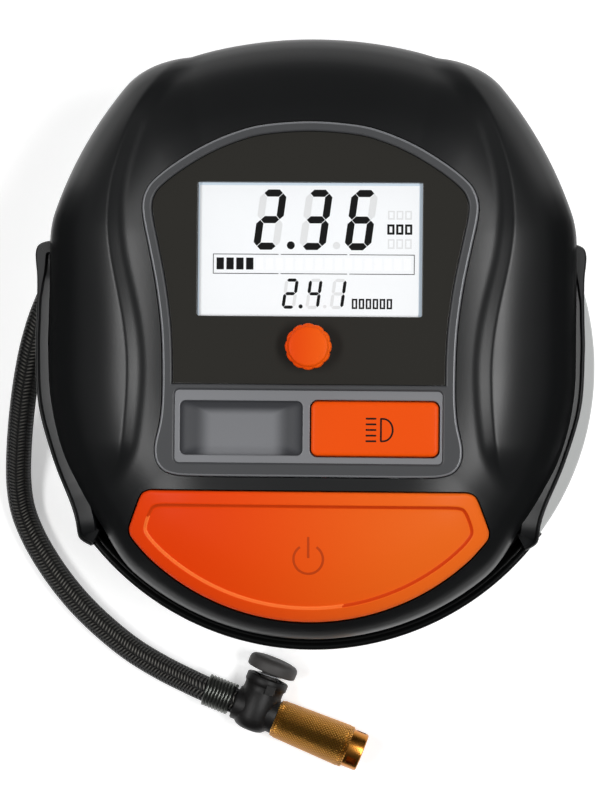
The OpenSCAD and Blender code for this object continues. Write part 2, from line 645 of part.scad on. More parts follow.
module motor_armature() color("#a8642c") difference() {
    union() {
        along_y(motor_x, motor_y - motor_l + 11, axis_z) cylinder(r = motor_r - 3.8, h = motor_l - 24);
        along_y(motor_x, motor_y - motor_l + 5, axis_z) cylinder(r = 4.6, h = motor_l - 12);
    }
    along_y(motor_x, motor_y - motor_l, axis_z) cylinder(r = shaft_r, h = motor_l);
    for (i = [0:4]) along_y(motor_x, motor_y - motor_l + 10, axis_z) rotate([0, 0, i * 72])
        translate([9, -1.2, 0]) cube([10, 2.4, motor_l]);
}

// involute tooth flanks of module 1
function involute_angle(base, r) = let (t = sqrt(max(0, r * r / base / base - 1))) t * 180 / PI - atan(t);
function gear_plan(teeth, backlash) =
    let (pitch = teeth / 2, base = pitch * cos(20), root = pitch - 1.15, top = pitch + 0.8,
        half = 90 / teeth + involute_angle(base, pitch) - backlash / pitch * 90 / PI)
    [for (i = [0:teeth - 1]) for (s = [-1, 1]) for (k = [0:3])
        let (q = s < 0 ? k : 3 - k,
            r = q == 0 ? root : max(base, root) + (top - max(base, root)) * (q - 1) / 2,
            a = i * 360 / teeth + s * (half - involute_angle(base, max(base, r))))
        r * [cos(a), sin(a)]];
module motor_pinion() color("goldenrod") along_y(motor_x, gear_y - 0.2, axis_z) difference() {
    rotate([0, 0, pinion_teeth % 2 == 0 ? 180 / pinion_teeth : 0])
        linear_extrude(gear_w + 0.6) polygon(gear_plan(pinion_teeth, 0.12));
    translate([0, 0, -1]) cylinder(r = shaft_r, h = gear_w + 3);
}

module cooling_fan() color("#303030") along_y(motor_x, motor_y - motor_l - 10.5, axis_z) difference() {
    union() {
        cylinder(r = 4, h = 7);
        translate([0, 0, 2.6]) cylinder(r = 7, h = 1.6);
        for (i = [0:6]) rotate([0, 0, i * 360 / 7]) translate([3.4, 0, 3.4]) rotate([35, 0, 0])
            translate([0, -0.7, -3.4]) cube([11.4, 1.4, 6.8]);
    }
    translate([0, 0, -1]) cylinder(r = shaft_r, h = 10);
}

module motor_screws() color("silver") for (s = [-1, 1]) along_y(motor_x, motor_y - 1, axis_z + s * 12.5) {
    cylinder(r = 1.2, h = frame_t + 1.3);
    translate([0, 0, frame_t + 1.2]) cylinder(r = 2.4, h = 1.1);
}

// ---- gearbox ----
frame_base_z = floor_z + 3;
frame_left = head_x + 1;
frame_right = motor_x + motor_r + 1;
frame_feet = [[gear_x + 22, 16], [gear_x - 14, 27.5], [head_x + 14, 32.2], [frame_right - 6, -2.5]];
module gearbox_frame() color("#b9bcc0") difference() {
    union() {
        translate([frame_left, frame_y, frame_base_z])
            cube([frame_right - frame_left, frame_t, axis_z + 18 - frame_base_z]);
        translate([head_x + 8, frame_y, frame_base_z]) cube([gear_x + 28 - head_x - 8, 33, 2.6]);
        translate([frame_right - 11, frame_y - 9, frame_base_z]) cube([10, 10, 2.6]);
        translate([head_x + 2, frame_y + 1, frame_base_z]) cube([22, cylinder_y + 8 - frame_y, 4]);
    }
    along_x(head_x - 5, cylinder_y, axis_z) cylinder(r = bore_r + cylinder_wall, h = 80);
    along_y(motor_x, frame_y - 5, axis_z) cylinder(r = 5.1, h = 20);
    along_y(gear_x, frame_y - 5, axis_z) cylinder(r = axle_r, h = 20);
    for (s = [-1, 1]) along_y(motor_x, frame_y - 5, axis_z + s * 12.5) cylinder(r = 1.35, h = 20);
    at_each(frame_feet, frame_base_z - 1) cylinder(r = 1.6, h = 10);
    translate([gear_x - 13, gear_y - 0.6, frame_base_z - 1]) cube([26, gear_w + 1.2, 5]);
}

module frame_screws() color("silver") at_each(frame_feet, floor_z + 0.6) {
    cylinder(r = 1.2, h = frame_base_z + 2.6 - floor_z - 0.5);
    translate([0, 0, frame_base_z + 2.6 - floor_z - 0.6]) cylinder(r = 2.6, h = 1.6);
}

module drive_gear() color("ivory") along_y(gear_x, gear_y, axis_z) difference() {
    union() {
        difference() {
            linear_extrude(gear_w) polygon(gear_plan(gear_teeth, 0.12));
            translate([0, 0, gear_w - 1.6]) cylinder(r = gear_r - 3.6, h = 3);
        }
        cylinder(r = 5.4, h = gear_w);
        translate([0, -crank_throw, 0]) cylinder(r = 4.4, h = gear_w);
    }
    translate([0, 0, -1]) cylinder(r = axle_r + fit, h = gear_w + 2);
    translate([0, -crank_throw, 1]) cylinder(r = 2.5, h = gear_w);
    for (a = [30, 150, 215, 325]) rotate([0, 0, a]) translate([gear_r * 0.6, 0, -1])
        cylinder(r = 3, h = gear_w + 2);
}

module gear_axle() color("silver") along_y(gear_x, frame_y - 0.8, axis_z) {
    cylinder(r = axle_r, h = clip_y + clip_t + 0.6 - frame_y + 0.8);
    translate([0, 0, -0.8]) cylinder(r = axle_r + 1.5, h = 1.6);
    translate([0, 0, frame_t + 0.8]) cylinder(r = axle_r + 1.2, h = 1.1);
}

module axle_clip() color("dimgray") along_y(gear_x, clip_y, axis_z) tube(4, axle_r, clip_t);

module crank_pin() color("silver") along_y(gear_x, gear_y + 1, axis_z + crank_throw)
    cylinder(r = 2.5, h = pin_end - gear_y - 1);

module connecting_rod() color("#c9ccd0") difference() {
    union() {
        along_y(gear_x, rod_y, axis_z + crank_throw) cylinder(r = 5.6, h = rod_t);
        along_y(piston_x, rod_y, axis_z) cylinder(r = 4.2, h = rod_t);
        translate([piston_x, rod_y + 0.6, axis_z]) rotate([0, -asin(crank_throw / rod_l), 0])
            translate([3, 0, -2.6]) cube([rod_l - 7, rod_t - 1.2, 5.2]);
    }
    along_y(gear_x, rod_y - 1, axis_z + crank_throw) cylinder(r = 2.6, h = rod_t + 2);
    along_y(piston_x, rod_y - 1, axis_z) cylinder(r = 2, h = rod_t + 2);
}

module wrist_pin() color("silver") along_y(piston_x, cylinder_y - bore_r + 1.6, axis_z)
    cylinder(r = 2, h = bore_d - 3.2);

module piston() color("#d9dadc") difference() {
    along_x(piston_x - crown_off, cylinder_y, axis_z) difference() {
        cylinder(r = bore_r - 0.07, h = crown_off + 4.5);
        translate([0, 0, 1.6]) tube(bore_r + 1, bore_r - 1.6, 1.8);
        translate([0, 0, 4.4]) cylinder(r = bore_r - 2.6, h = 20);
    }
    along_y(piston_x, cylinder_y - bore_r, axis_z) cylinder(r = 2, h = bore_d);
    translate([piston_x - 5, rod_y - 0.4, axis_z - 5]) cube([20, rod_t + 0.8, 10]);
}

module piston_seal() color("black") along_x(piston_x - crown_off + 1.7, cylinder_y, axis_z)
    tube(bore_r - 0.04, bore_r - 1.6, 1.6);

module cylinder_body() {
    along_x(head_x, cylinder_y, axis_z) cylinder(r = bore_r + cylinder_wall, h = mouth_x - head_x);
    for (i = [0:3]) along_x(head_x + 4 + i * 4.4, cylinder_y, axis_z) cylinder(r = bore_r + 4.4, h = 1.5);
    along_x(head_x, cylinder_y, axis_z) cylinder(r = bore_r + 4.4, h = 2.2);
}
module cylinder_part() color("#c3c6ca") difference() {
    cylinder_body();
    along_x(head_x - 1, cylinder_y, axis_z) cylinder(r = bore_r, h = 80);
    translate([head_x - 1, frame_y - 7, 0]) cube([80, 7 + frame_t, 100]);
    translate([head_x - 1, 0, 0]) cube([80, 100, frame_base_z + 4]);
    for (a = [45:90:315]) along_x(head_x - 1, cylinder_y, axis_z) rotate([0, 0, a])
        translate([bore_r + 2.8, 0, 0]) cylinder(r = 1.1, h = 7);
}

module valve_plate() color("silver") difference() {
    along_x(head_x - plate_t, cylinder_y, axis_z) cylinder(r = bore_r + 4, h = plate_t);
    along_x(head_x - 3, cylinder_y, axis_z + 3) cylinder(r = 1.4, h = 5);
    head_holes();
}
module head_holes() for (a = [45:90:315]) along_x(head_x - 12, cylinder_y, axis_z) rotate([0, 0, a])
    translate([bore_r + 2.8, 0, 0]) cylinder(r = 1.3, h = 14);

module cylinder_head() color("#aeb1b5") difference() {
    union() {
        along_x(head_x - plate_t - head_t, cylinder_y, axis_z) cylinder(r = bore_r + 4.4, h = head_t);
        along_y(outlet_x, cylinder_y - bore_r - 6, axis_z) cylinder(r = 3.5, h = 8);
        translate([outlet_x, cylinder_y, axis_z + 10]) cylinder(r = 3.4, h = bore_r - 5);
    }
    along_x(head_x - plate_t - 4, cylinder_y, axis_z) cylinder(r = bore_r - 3, h = 10);
    along_y(outlet_x, cylinder_y - bore_r - 8, axis_z) cylinder(r = 2, h = 10);
    head_holes();
}

module head_screws() color("dimgray")
    for (a = [45:90:315]) along_x(head_x - plate_t - head_t - 2.2, cylinder_y, axis_z)
        rotate([0, 0, a]) translate([bore_r + 2.8, 0, 0]) {
            cylinder(r = 2.2, h = 2.2);
            cylinder(r = 1.1, h = head_t + plate_t + 6);
        }

outlet_y = cylinder_y - bore_r - 6;
module outlet_fitting() color("goldenrod") along_y(outlet_x, outlet_y, axis_z) difference() {
    union() {
        translate([0, 0, -3.4]) cylinder(r = 4.4, h = 3.4, $fn = 6);
        translate([0, 0, -7]) cylinder(r = 2.2, h = 4);
        cylinder(r = 2, h = 6);
    }
    translate([0, 0, -8]) cylinder(r = 1.1, h = 16);
}

module pressure_sensor() color("#2b2d30") translate([outlet_x, cylinder_y, axis_z + bore_r + 5]) {
    cylinder(r = 4.4, h = 2, $fn = 6);
    translate([0, 0, 2]) cylinder(r = 3.6, h = 2.4);
}

tube_start = [outlet_x, outlet_y - 7, axis_z];
fitting_inner = [fitting_in * cos(fitting_a), -pan_shift + fitting_in * sin(fitting_a), hose_z];
fitting_out = [cos(fitting_a), sin(fitting_a), 0];
tube_path = open_curve([tube_start, tube_start + [0, -5, 0], tube_start + [-0.6, -11, -1],
    fitting_inner - 16 * fitting_out + [1.8, 3.6, 2.2], fitting_inner - 6 * fitting_out, fitting_inner], 3);
module air_tube() color("#d8d8c8") swept(tube_path, 2.4, 8);

// two wires from the motor's terminals to the board, and two from there to the work light
function motor_wire(s) = [[motor_x - motor_r + 0.1, motor_y - motor_l - 1.2, axis_z + 2 * s],
    [motor_x - motor_r - 5, motor_y - motor_l - 1.2, axis_z + 0.4 + 3 * s], [4, -45, 36 + 3 * s],
    [1 + 3 * s, -36, 44], [2 + 3 * s, -28, board_z - 8], [2 + 3 * s, -27, board_z]];
function light_wire(s) = [[8 + 3 * s, brow_y - 9.6, rim_z + wall + 3],
    [8 + 3 * s, brow_y - 18, rim_z + wall + 5], [8 + 3 * s, brow_y - 36, board_z - 8],
    [8 + 3 * s, 55, board_z - 6], [8 + 3 * s, 53.5, board_z]];
module wire_harness() color("crimson") for (s = [0, 1]) {
    swept(open_curve(motor_wire(s), 2), 0.8, 8);
    swept(open_curve(light_wire(s), 2), 0.6, 8);
}

// ---- hose ----
wound_path = [for (a = [0:20]) let (q = wound_a + (leave_a - wound_a) * a / 20)
    [wound_r * cos(q), -pan_shift + wound_r * sin(q), hose_z]];
leave_dir = [-sin(leave_a), cos(leave_a), 0];
chuck_dir = [cos(chuck_turn), sin(chuck_turn), 0];
hose_end = chuck_at + inlet_x * chuck_dir;
free_points = concat([wound_path[20], wound_path[20] + 8 * leave_dir], hose_route,
    [hose_end - 12.5 * chuck_dir, hose_end - 6 * chuck_dir, hose_end]);
free_path = concat([wound_path[20]], [for (i = [2:len(free_points) - 1]) free_points[i]]);
hose_joint = wound_path[20] + 0.2 * leave_dir;
module hose_wound() color("#262626")
    swept(concat([wound_path[0] - 0.5 * [-sin(wound_a), cos(wound_a), 0]], wound_path, [hose_joint]),
        hose_r, 6);
module hose_free() color("#262626")
    swept(concat([hose_joint, wound_path[20] + 4 * leave_dir],
        [for (i = [1:len(free_path) - 1]) free_path[i]]), hose_r, 8);

module hose_fitting() color("goldenrod") {
    from_pan(fitting_a, hose_z) {
        difference() {
            union() {
                along_x(fitting_in, 0, 0) cylinder(r = 2.8, h = norm([wound_r, fitting_l]) - fitting_in);
                along_x(drum_in - 3.2, 0, 0) cylinder(r = 5, h = 3, $fn = 6);
                along_x(drum_r + 0.1, 0, 0) cylinder(r = 4.9, h = 2);
                translate([norm([wound_r, fitting_l]), 0, 0]) sphere(r = 4.8);
            }
            along_x(fitting_in - 1, 0, 0) cylinder(r = 1.4, h = norm([wound_r, fitting_l]) - fitting_in);
        }
    }
    translate([0, -pan_shift, hose_z]) rotate([0, 0, wound_a]) translate([wound_r, 0, 0]) rotate([90, 0, 0])
        translate([0, 0, 0.5]) cylinder(r = 4.9, h = fitting_l - 2);
}

// ---- chuck ----
module on_chuck() translate(chuck_at) rotate([0, 0, chuck_turn]) children();
module along_stem(y) translate([0, y, 0]) rotate([-90, 0, 0]) children();

coil_wire = 0.8;
coil_turns = 8;
coil_l = 12;
module hose_spring() color("#2e302f") on_chuck() translate([inlet_x - coil_l, 0, 0]) rotate([0, 90, 0])
    coil(5.5, coil_wire, coil_l, coil_turns);

module chuck_body() color("#2a2a2b") on_chuck() difference() {
    union() {
        rotate([-90, 0, 0]) rotate_extrude() polygon([[0, -7.8], [3.6, -7.6], [5.6, -6.7], [6.9, -5],
            [tee_r, -2.6], [tee_r, collar_y - 3.2], [tee_r + 0.3, collar_y - 3],
            [tee_r + 0.3, collar_y - 0.4], [tee_r - 0.1, collar_y], [0, collar_y]]);
        along_x(inlet_x, 0, 0) cylinder(r = 6.2, h = 7);
        along_x(0, 0, 0) cylinder(r = 5.8, h = 9);
        translate([1, collar_y - 5.5, 6]) cube([3.4, 3, 2]);
    }
    along_x(inlet_x - 1, 0, 0) cylinder(r = 2, h = 20);
    along_stem(3) cylinder(r = 3.05, h = 20);
    along_stem(6) cylinder(r = 5.2, h = 20);
    along_x(6.2, 0, 0) cylinder(r = 4.2, h = 5);
}

module bleed_button() color("#343435") on_chuck() rotate([-90, 0, 0]) rotate_extrude()
    polygon([[0, 3.4 + bleed_travel], [3, 3.4 + bleed_travel], [3, cap_y], [bleed_d / 2 - 0.6, cap_y],
        [bleed_d / 2, cap_y + 0.7], [bleed_d / 2, cap_y + 3.4], [bleed_d / 2 - 0.8, cap_y + 4.4],
        [bleed_d / 2 - 3, cap_y + 5], [0, cap_y + 5.2]]);

module bleed_spring() color("silver") on_chuck() along_stem(6.1) coil(4.2, 0.6, cap_y - 6.2, 4);

module chuck_collet() color("#c08a3a") on_chuck() difference() {
    union() {
        along_x(9.1, 0, 0) cylinder(r = collet_r, h = nose_x - 9);
        along_x(6.3, 0, 0) cylinder(r = 4.1, h = 3);
        along_x(nose_x, 0, 0) cylinder(r = nose_r, h = nose_l - 0.4);
        along_x(nose_x + nose_l - 0.5, 0, 0) cylinder(r1 = nose_r, r2 = nose_r - 0.4, h = 0.5);
    }
    along_x(0, 0, 0) cylinder(r = 1.5, h = 60);
    along_x(seal_x - 0.1, 0, 0) cylinder(r = valve_bore / 2, h = 60);
    along_x(seal_x - seal_t, 0, 0) cylinder(r = valve_bore / 2 + 0.6, h = seal_t);
    for (s = [70, 250]) translate([nose_x + 0.9, 0, 0]) rotate([s, 0, 0])
        translate([0, -1.3, 2]) cube([3.6, 2.6, 10]);
}

module chuck_seal() color("black") on_chuck() along_x(seal_x - seal_t, 0, 0)
    tube(valve_bore / 2 + 0.58, 1.5, seal_t - 0.05);

module chuck_sleeve() color("#b27d30") on_chuck() difference() {
    along_x(sleeve_x, 0, 0) rotate_extrude() polygon([[collet_r + fit, 0], [sleeve_d / 2 - 1.3, 0],
        [sleeve_d / 2 - 0.75, 0.7], [sleeve_d / 2, sleeve_l - 0.6], [sleeve_d / 2 - 0.5, sleeve_l],
        [nose_r + fit, sleeve_l], [nose_r + fit, sleeve_l - sleeve_travel - 0.4],
        [collet_r + fit, sleeve_l - sleeve_travel - 0.4]]);
    for (i = [0:23]) rotate([i * 15, 0, 0]) translate([sleeve_x + 2, sleeve_d / 2 + 0.05, 0])
        rotate([45, 0, 0]) translate([0, -0.25, -0.25]) cube([sleeve_l - 4, 0.5, 0.5]);
}

// least gap of each coil to itself, in millimetres
echo(hose_spring_gap = self_gap(coil_path(5.5, coil_wire, coil_l, coil_turns), coil_wire, 7));
echo(bleed_spring_gap = self_gap(coil_path(4.2, 0.6, cap_y - 6.2, 4), 0.6, 7));
echo(light_spring_gap = self_gap(coil_path(5.2, 0.6, light_top - 1.6 - board_top - 0.2, 5), 0.6, 7));
echo(power_spring_gap = self_gap(coil_path(4.2, 0.7, power_under_z - well_z - wall - 0.2, 6), 0.7, 7));
echo(hose_winding_gap = self_gap(wound_path, hose_d, 10));
function path_length(p, i = 1) = i == len(p) ? 0 : norm(p[i] - p[i - 1]) + path_length(p, i + 1);
echo(hose_length = (leave_a - wound_a) * wound_r * PI / 180 + path_length(free_path));

rear_pan();
hose_drum();
rubber_feet();
housing_screws();
front_shell();
bezel();
window();
display_panel();
backlight();
display_board();
board_screws();
encoder_body();
encoder_plunger();
encoder_shaft();
set_knob();
light_button();
light_switch();
light_button_spring();
power_button();
power_switch();
power_button_springs();
work_light_lens();
work_light_board();
cord_gland();
motor_can();
motor_end_cap();
motor_magnets();
motor_shaft();
motor_armature();
motor_pinion();
cooling_fan();
motor_screws();
gearbox_frame();
frame_screws();
drive_gear();
gear_axle();
axle_clip();
crank_pin();
connecting_rod();
wrist_pin();
piston();
piston_seal();
cylinder_part();  // cylinder
valve_plate();
cylinder_head();
head_screws();
outlet_fitting();
pressure_sensor();
air_tube();
wire_harness();
hose_fitting();
hose_wound();
hose_free();
hose_spring();
chuck_body();
bleed_button();
bleed_spring();
chuck_collet();
chuck_seal();
chuck_sleeve();
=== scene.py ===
import math

import bpy
import numpy as np
from mathutils import Matrix, Vector


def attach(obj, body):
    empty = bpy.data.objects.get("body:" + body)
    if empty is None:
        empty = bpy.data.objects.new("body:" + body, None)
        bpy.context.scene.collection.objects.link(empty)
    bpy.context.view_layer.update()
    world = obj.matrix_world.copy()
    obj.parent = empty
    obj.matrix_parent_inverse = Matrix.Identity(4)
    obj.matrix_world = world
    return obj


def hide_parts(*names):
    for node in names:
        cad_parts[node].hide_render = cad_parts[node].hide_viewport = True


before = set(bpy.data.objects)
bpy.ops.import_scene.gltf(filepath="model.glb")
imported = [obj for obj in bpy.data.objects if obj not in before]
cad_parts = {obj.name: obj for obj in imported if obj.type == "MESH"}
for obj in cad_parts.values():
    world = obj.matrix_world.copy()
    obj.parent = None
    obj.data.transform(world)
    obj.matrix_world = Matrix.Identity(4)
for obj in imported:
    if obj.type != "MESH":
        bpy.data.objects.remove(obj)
scene = bpy.context.scene
mm = 0.001
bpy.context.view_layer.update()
print("frame loaded")

# the camera, in millimetres from the middle of the unit's base
cameraView = {"height": 1058, "shift": 43.4, "aim": (-3.8, -18.0, 58), "lens": 130.6, "roll": 0.5,
              "sensor": 36, "clip": (50, 10000)}


def makeCamera(view):
    data = bpy.data.cameras.new("camera")
    data.sensor_fit = "VERTICAL"
    data.sensor_height = data.sensor_width = view["sensor"]
    data.lens = view["lens"]
    data.clip_start, data.clip_end = [v * mm for v in view["clip"]]
    camera = bpy.data.objects.new("camera", data)
    scene.collection.objects.link(camera)
    camera.location = Vector((view["shift"], view["aim"][1], view["height"])) * mm
    away = (camera.location - Vector(view["aim"]) * mm).normalized()
    side = Vector((0, 1, 0)).cross(away).normalized()
    up = away.cross(side)
    turn = math.radians(view["roll"])
    side, up = (side * math.cos(turn) + up * math.sin(turn),
                up * math.cos(turn) - side * math.sin(turn))
    camera.rotation_mode = "QUATERNION"
    camera.rotation_quaternion = Matrix((side, up, away)).transposed().to_quaternion()
    scene.camera = camera


makeCamera(cameraView)


# outlines and curves shared by the pieces
def spline(a, b, c, d, t):
    return 0.5 * (2 * b + (c - a) * t + (2 * a - 5 * b + 4 * c - d) * t * t
                  + (3 * b - a - 3 * c + d) * t ** 3)


def closedCurve(points, count):
    p = np.array(points, float)
    m = len(p)
    return np.array([spline(p[i - 1], p[i], p[(i + 1) % m], p[(i + 2) % m], k / count)
                     for i in range(m) for k in range(count)])


def openCurve(points, count):
    p = np.array(points, float)
    m = len(p) - 1
    out = [spline(p[max(0, i - 1)], p[i], p[i + 1], p[min(m, i + 2)], k / count)
           for i in range(m) for k in range(count)]
    return np.array(out + [p[m]])


def lengths(points):
    return np.concatenate([[0], np.cumsum(np.linalg.norm(np.diff(points, axis=0), axis=1))])


def evenly(points, step):
    p = np.array(points, float)
    s = lengths(p)
    n = max(2, int(round(s[-1] / step)) + 1)
    return np.stack([np.interp(np.linspace(0, s[-1], n), s, p[:, k]) for k in range(p.shape[1])], 1)


def turns(count):
    return [2 * math.pi * k / count for k in range(count)]


def circle(x, y, r, count):
    return [(x + r * math.cos(a), y + r * math.sin(a)) for a in turns(count)]


def directions(steps):
    return steps / np.linalg.norm(steps, axis=1)[:, None]


def grow(points, by):
    p = np.array(points, float)
    t = directions(np.roll(p, -1, 0) - np.roll(p, 1, 0))
    return p + by * np.stack([t[:, 1], -t[:, 0]], 1)


def bothSides(half):
    return [tuple(p) for p in half] + [(-x, y) for x, y in reversed(half) if x > 0.01]


def roundedBox(w, h, r, cx=0, cy=0, steps=8):
    out = []
    for sx, sy, start in ((1, 1, 0), (-1, 1, 90), (-1, -1, 180), (1, -1, 270)):
        x, y = cx + sx * (w / 2 - r), cy + sy * (h / 2 - r)
        for k in range(steps + 1):
            a = math.radians(start + 90 * k / steps)
            out.append((x + r * math.cos(a), y + r * math.sin(a)))
    return out


# mesh makers
def finishMesh(o, finish, instead=(), sharp=32, body="housing"):
    o.data.polygons.foreach_set("use_smooth", [True] * len(o.data.polygons))
    o.data.set_sharp_from_angle(angle=math.radians(sharp))
    o.data.materials.clear()
    o.data.materials.append(look[finish])
    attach(o, body)
    if instead:
        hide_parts(*instead)
    return o


def rawMesh(name, points, faces):
    data = bpy.data.meshes.new(name)
    data.from_pydata([tuple(float(c) * mm for c in p) for p in points], [], faces)
    data.validate()
    o = bpy.data.objects.new(name, data)
    scene.collection.objects.link(o)
    return o


def gridFaces(rows, columns, closed=True, caps=True, offset=0, flip=False):
    faces = []
    for i in range(rows - 1):
        for k in range(columns if closed else columns - 1):
            a, b = offset + i * columns + k, offset + i * columns + (k + 1) % columns
            faces.append((a, b, b + columns, a + columns))
    if caps:
        faces.append(tuple(offset + k for k in reversed(range(columns))))
        faces.append(tuple(offset + (rows - 1) * columns + k for k in range(columns)))
    return [tuple(reversed(f)) for f in faces] if flip else faces


def loftMesh(name, rings, caps=True):
    faces = gridFaces(len(rings), len(rings[0]), True, caps)
    return rawMesh(name, [p for ring in rings for p in ring], faces)


def frames(path, up=(0, 0, 1)):
    p = np.array(path, float)
    t = directions(np.gradient(p, axis=0))
    n = np.zeros_like(p)
    last = np.array(up, float)
    for i in range(len(p)):
        last = last - last.dot(t[i]) * t[i]
        last /= np.linalg.norm(last)
        n[i] = last
    return t, n, np.cross(t, n)


uvPerMm = 0.01


def wrapUv(o, sides, along):
    layer = o.data.uv_layers.new(name="UVMap")
    for f in o.data.polygons:
        i, k = divmod(f.index, sides)
        if i < len(along) - 1:
            for loop, (di, dk) in zip(f.loop_indices, ((0, 0), (0, 1), (1, 1), (1, 0))):
                layer.data[loop].uv = ((k + dk) / sides, along[i + di] * uvPerMm)


def tubeMesh(name, path, radius, sides, up=(0, 0, 1)):
    t, n, b = frames(path, up)
    p = np.array(path, float)
    points = [p[i] + radius * (math.cos(a) * n[i] + math.sin(a) * b[i])
              for i in range(len(p)) for a in turns(sides)]
    o = rawMesh(name, points, gridFaces(len(p), sides))
    wrapUv(o, sides, lengths(p))
    return o


def plateMesh(name, loops, low, high, bevel=0.3, steps=3):
    data = bpy.data.curves.new(name, "CURVE")
    data.dimensions = "2D"
    data.fill_mode = "BOTH"
    data.extrude = ((high - low) / 2 - bevel) * mm
    data.bevel_depth = bevel * mm
    data.bevel_resolution = steps
    data.offset = -bevel * mm
    for loop in loops:
        s = data.splines.new("POLY")
        s.points.add(len(loop) - 1)
        for point, (x, y) in zip(s.points, loop):
            point.co = (float(x) * mm, float(y) * mm, 0, 1)
        s.use_cyclic_u = True
    curve = bpy.data.objects.new(name + "_line", data)
    scene.collection.objects.link(curve)
    bpy.context.view_layer.update()
    made = bpy.data.meshes.new_from_object(curve.evaluated_get(bpy.context.evaluated_depsgraph_get()))
    bpy.data.objects.remove(curve)
    made.name = name
    made.transform(Matrix.Translation((0, 0, (low + high) / 2 * mm)))
    o = bpy.data.objects.new(name, made)
    scene.collection.objects.link(o)
    return o


def cut(o, cutters):
    for c in cutters:
        m = o.modifiers.new("cut", "BOOLEAN")
        m.operation, m.solver, m.object = "DIFFERENCE", "EXACT", c
    bpy.context.view_layer.update()
    made = bpy.data.meshes.new_from_object(o.evaluated_get(bpy.context.evaluated_depsgraph_get()))
    o.modifiers.clear()
    o.data = made
    for c in cutters:
        bpy.data.objects.remove(c)
    return o


def prism(name, loop, low, high):
    points = [(x, y, z) for z in (low, high) for x, y in loop]
    return rawMesh(name, points, gridFaces(2, len(loop)))


def bandMesh(name, lines, closed):
    n = len(lines[0])
    faces = [tuple(i % (4 * n) for i in f) for f in gridFaces(5, n, closed, False)]
    if not closed:
        faces += [(0, n, 2 * n, 3 * n), (n - 1, 4 * n - 1, 3 * n - 1, 2 * n - 1)]
    return rawMesh(name, [p for line in lines for p in line], faces)


def joined(name, parts):
    points, faces = [], []
    for o in parts:
        base = len(points)
        points += [tuple(v.co / mm) for v in o.data.vertices]
        faces += [tuple(base + i for i in f.vertices) for f in o.data.polygons]
        bpy.data.objects.remove(o)
    return rawMesh(name, points, faces)


# materials
def linear(code):
    c = [int(code[i:i + 2], 16) / 255 for i in (1, 3, 5)]
    return [v / 12.92 if v <= 0.04045 else ((v + 0.055) / 1.055) ** 2.4 for v in c] + [1.0]


def shaded(colour, by):
    return [min(1, c * by) for c in colour[:3]] + [1]


def node(tree, kind, inputs, **settings):
    made = tree.nodes.new("ShaderNode" + kind)
    for key, value in settings.items():
        setattr(made, key, value)
    for key, value in inputs.items():
        if isinstance(value, bpy.types.NodeSocket):
            tree.links.new(value, made.inputs[key])
        else:
            made.inputs[key].default_value = value
    return made


def mathNode(tree, operation, *values):
    return node(tree, "Math", dict(enumerate(values)), operation=operation).outputs[0]


def ramp(tree, value, start, end, low=0, high=1, form="SMOOTHSTEP"):
    inputs = {"Value": value, "From Min": start, "From Max": end, "To Min": low, "To Max": high}
    return node(tree, "MapRange", inputs, interpolation_type=form).outputs["Result"]


def blend(tree, share, first, second):
    inputs = {"Factor": share, "A": first, "B": second}
    return node(tree, "Mix", inputs, data_type="RGBA").outputs["Result"]


def placeParts(tree, kind="Object"):
    return node(tree, "SeparateXYZ", {0: node(tree, "TexCoord", {}).outputs[kind]}).outputs


def newGroup(name, inputs, outputs):
    g = bpy.data.node_groups.new(name, "ShaderNodeTree")
    for label, value in inputs.items():
        socket = g.interface.new_socket(label, in_out="INPUT", socket_type="NodeSocketFloat")
        socket.default_value = value
    for label in outputs:
        g.interface.new_socket(label, in_out="OUTPUT", socket_type="NodeSocketFloat")
    return g, g.nodes.new("NodeGroupInput").outputs, g.nodes.new("NodeGroupOutput").inputs


def grainGroup():
    g, given, out = newGroup("mouldedGrain", {"Scale": 900}, ("Height", "Tone"))
    place = node(g, "TexCoord", {}).outputs["Object"]
    fine = node(g, "TexNoise", {"Vector": place, "Scale": given["Scale"], "Detail": 3})
    broad = node(g, "TexNoise", {"Vector": place, "Scale": 18, "Detail": 2})
    g.links.new(fine.outputs["Fac"], out["Height"])
    g.links.new(broad.outputs["Fac"], out["Tone"])
    return g


def wrapped(g, given):
    split = node(g, "SeparateXYZ", {0: node(g, "UVMap", {}).outputs["UV"]}).outputs
    return [mathNode(g, "MULTIPLY", split[i], given[key]) for i, key in enumerate(("Around", "Along"))]


def braidGroup():
    g, given, out = newGroup("braid", {"Around": 12, "Along": 80}, ("Height", "Glint"))
    u, v = wrapped(g, given)
    # rows of short slanted yarns, leaning one way and then the other
    slant = mathNode(g, "MULTIPLY_ADD", mathNode(g, "PINGPONG", u, 1.0), 0.7, v)
    wave = mathNode(g, "SINE", mathNode(g, "MULTIPLY", slant, 2 * math.pi))
    yarn = mathNode(g, "MULTIPLY_ADD", wave, 0.5, 0.5)
    across = mathNode(g, "MULTIPLY", mathNode(g, "PINGPONG", u, 0.5), math.pi)
    height = mathNode(g, "MULTIPLY", yarn, mathNode(g, "POWER", mathNode(g, "SINE", across), 0.5))
    g.links.new(height, out["Height"])
    # the yarn crowns, where painted glints go
    g.links.new(mathNode(g, "POWER", height, 2.5), out["Glint"])
    return g


def knurlGroup():
    g, given, out = newGroup("knurl", {"Around": 36, "Along": 80}, ("Height",))
    u, v = wrapped(g, given)
    ways = [mathNode(g, "PINGPONG", mathNode(g, way, u, v), 0.5) for way in ("ADD", "SUBTRACT")]
    g.links.new(mathNode(g, "MULTIPLY", mathNode(g, "MINIMUM", *ways), 2.0), out["Height"])
    return g


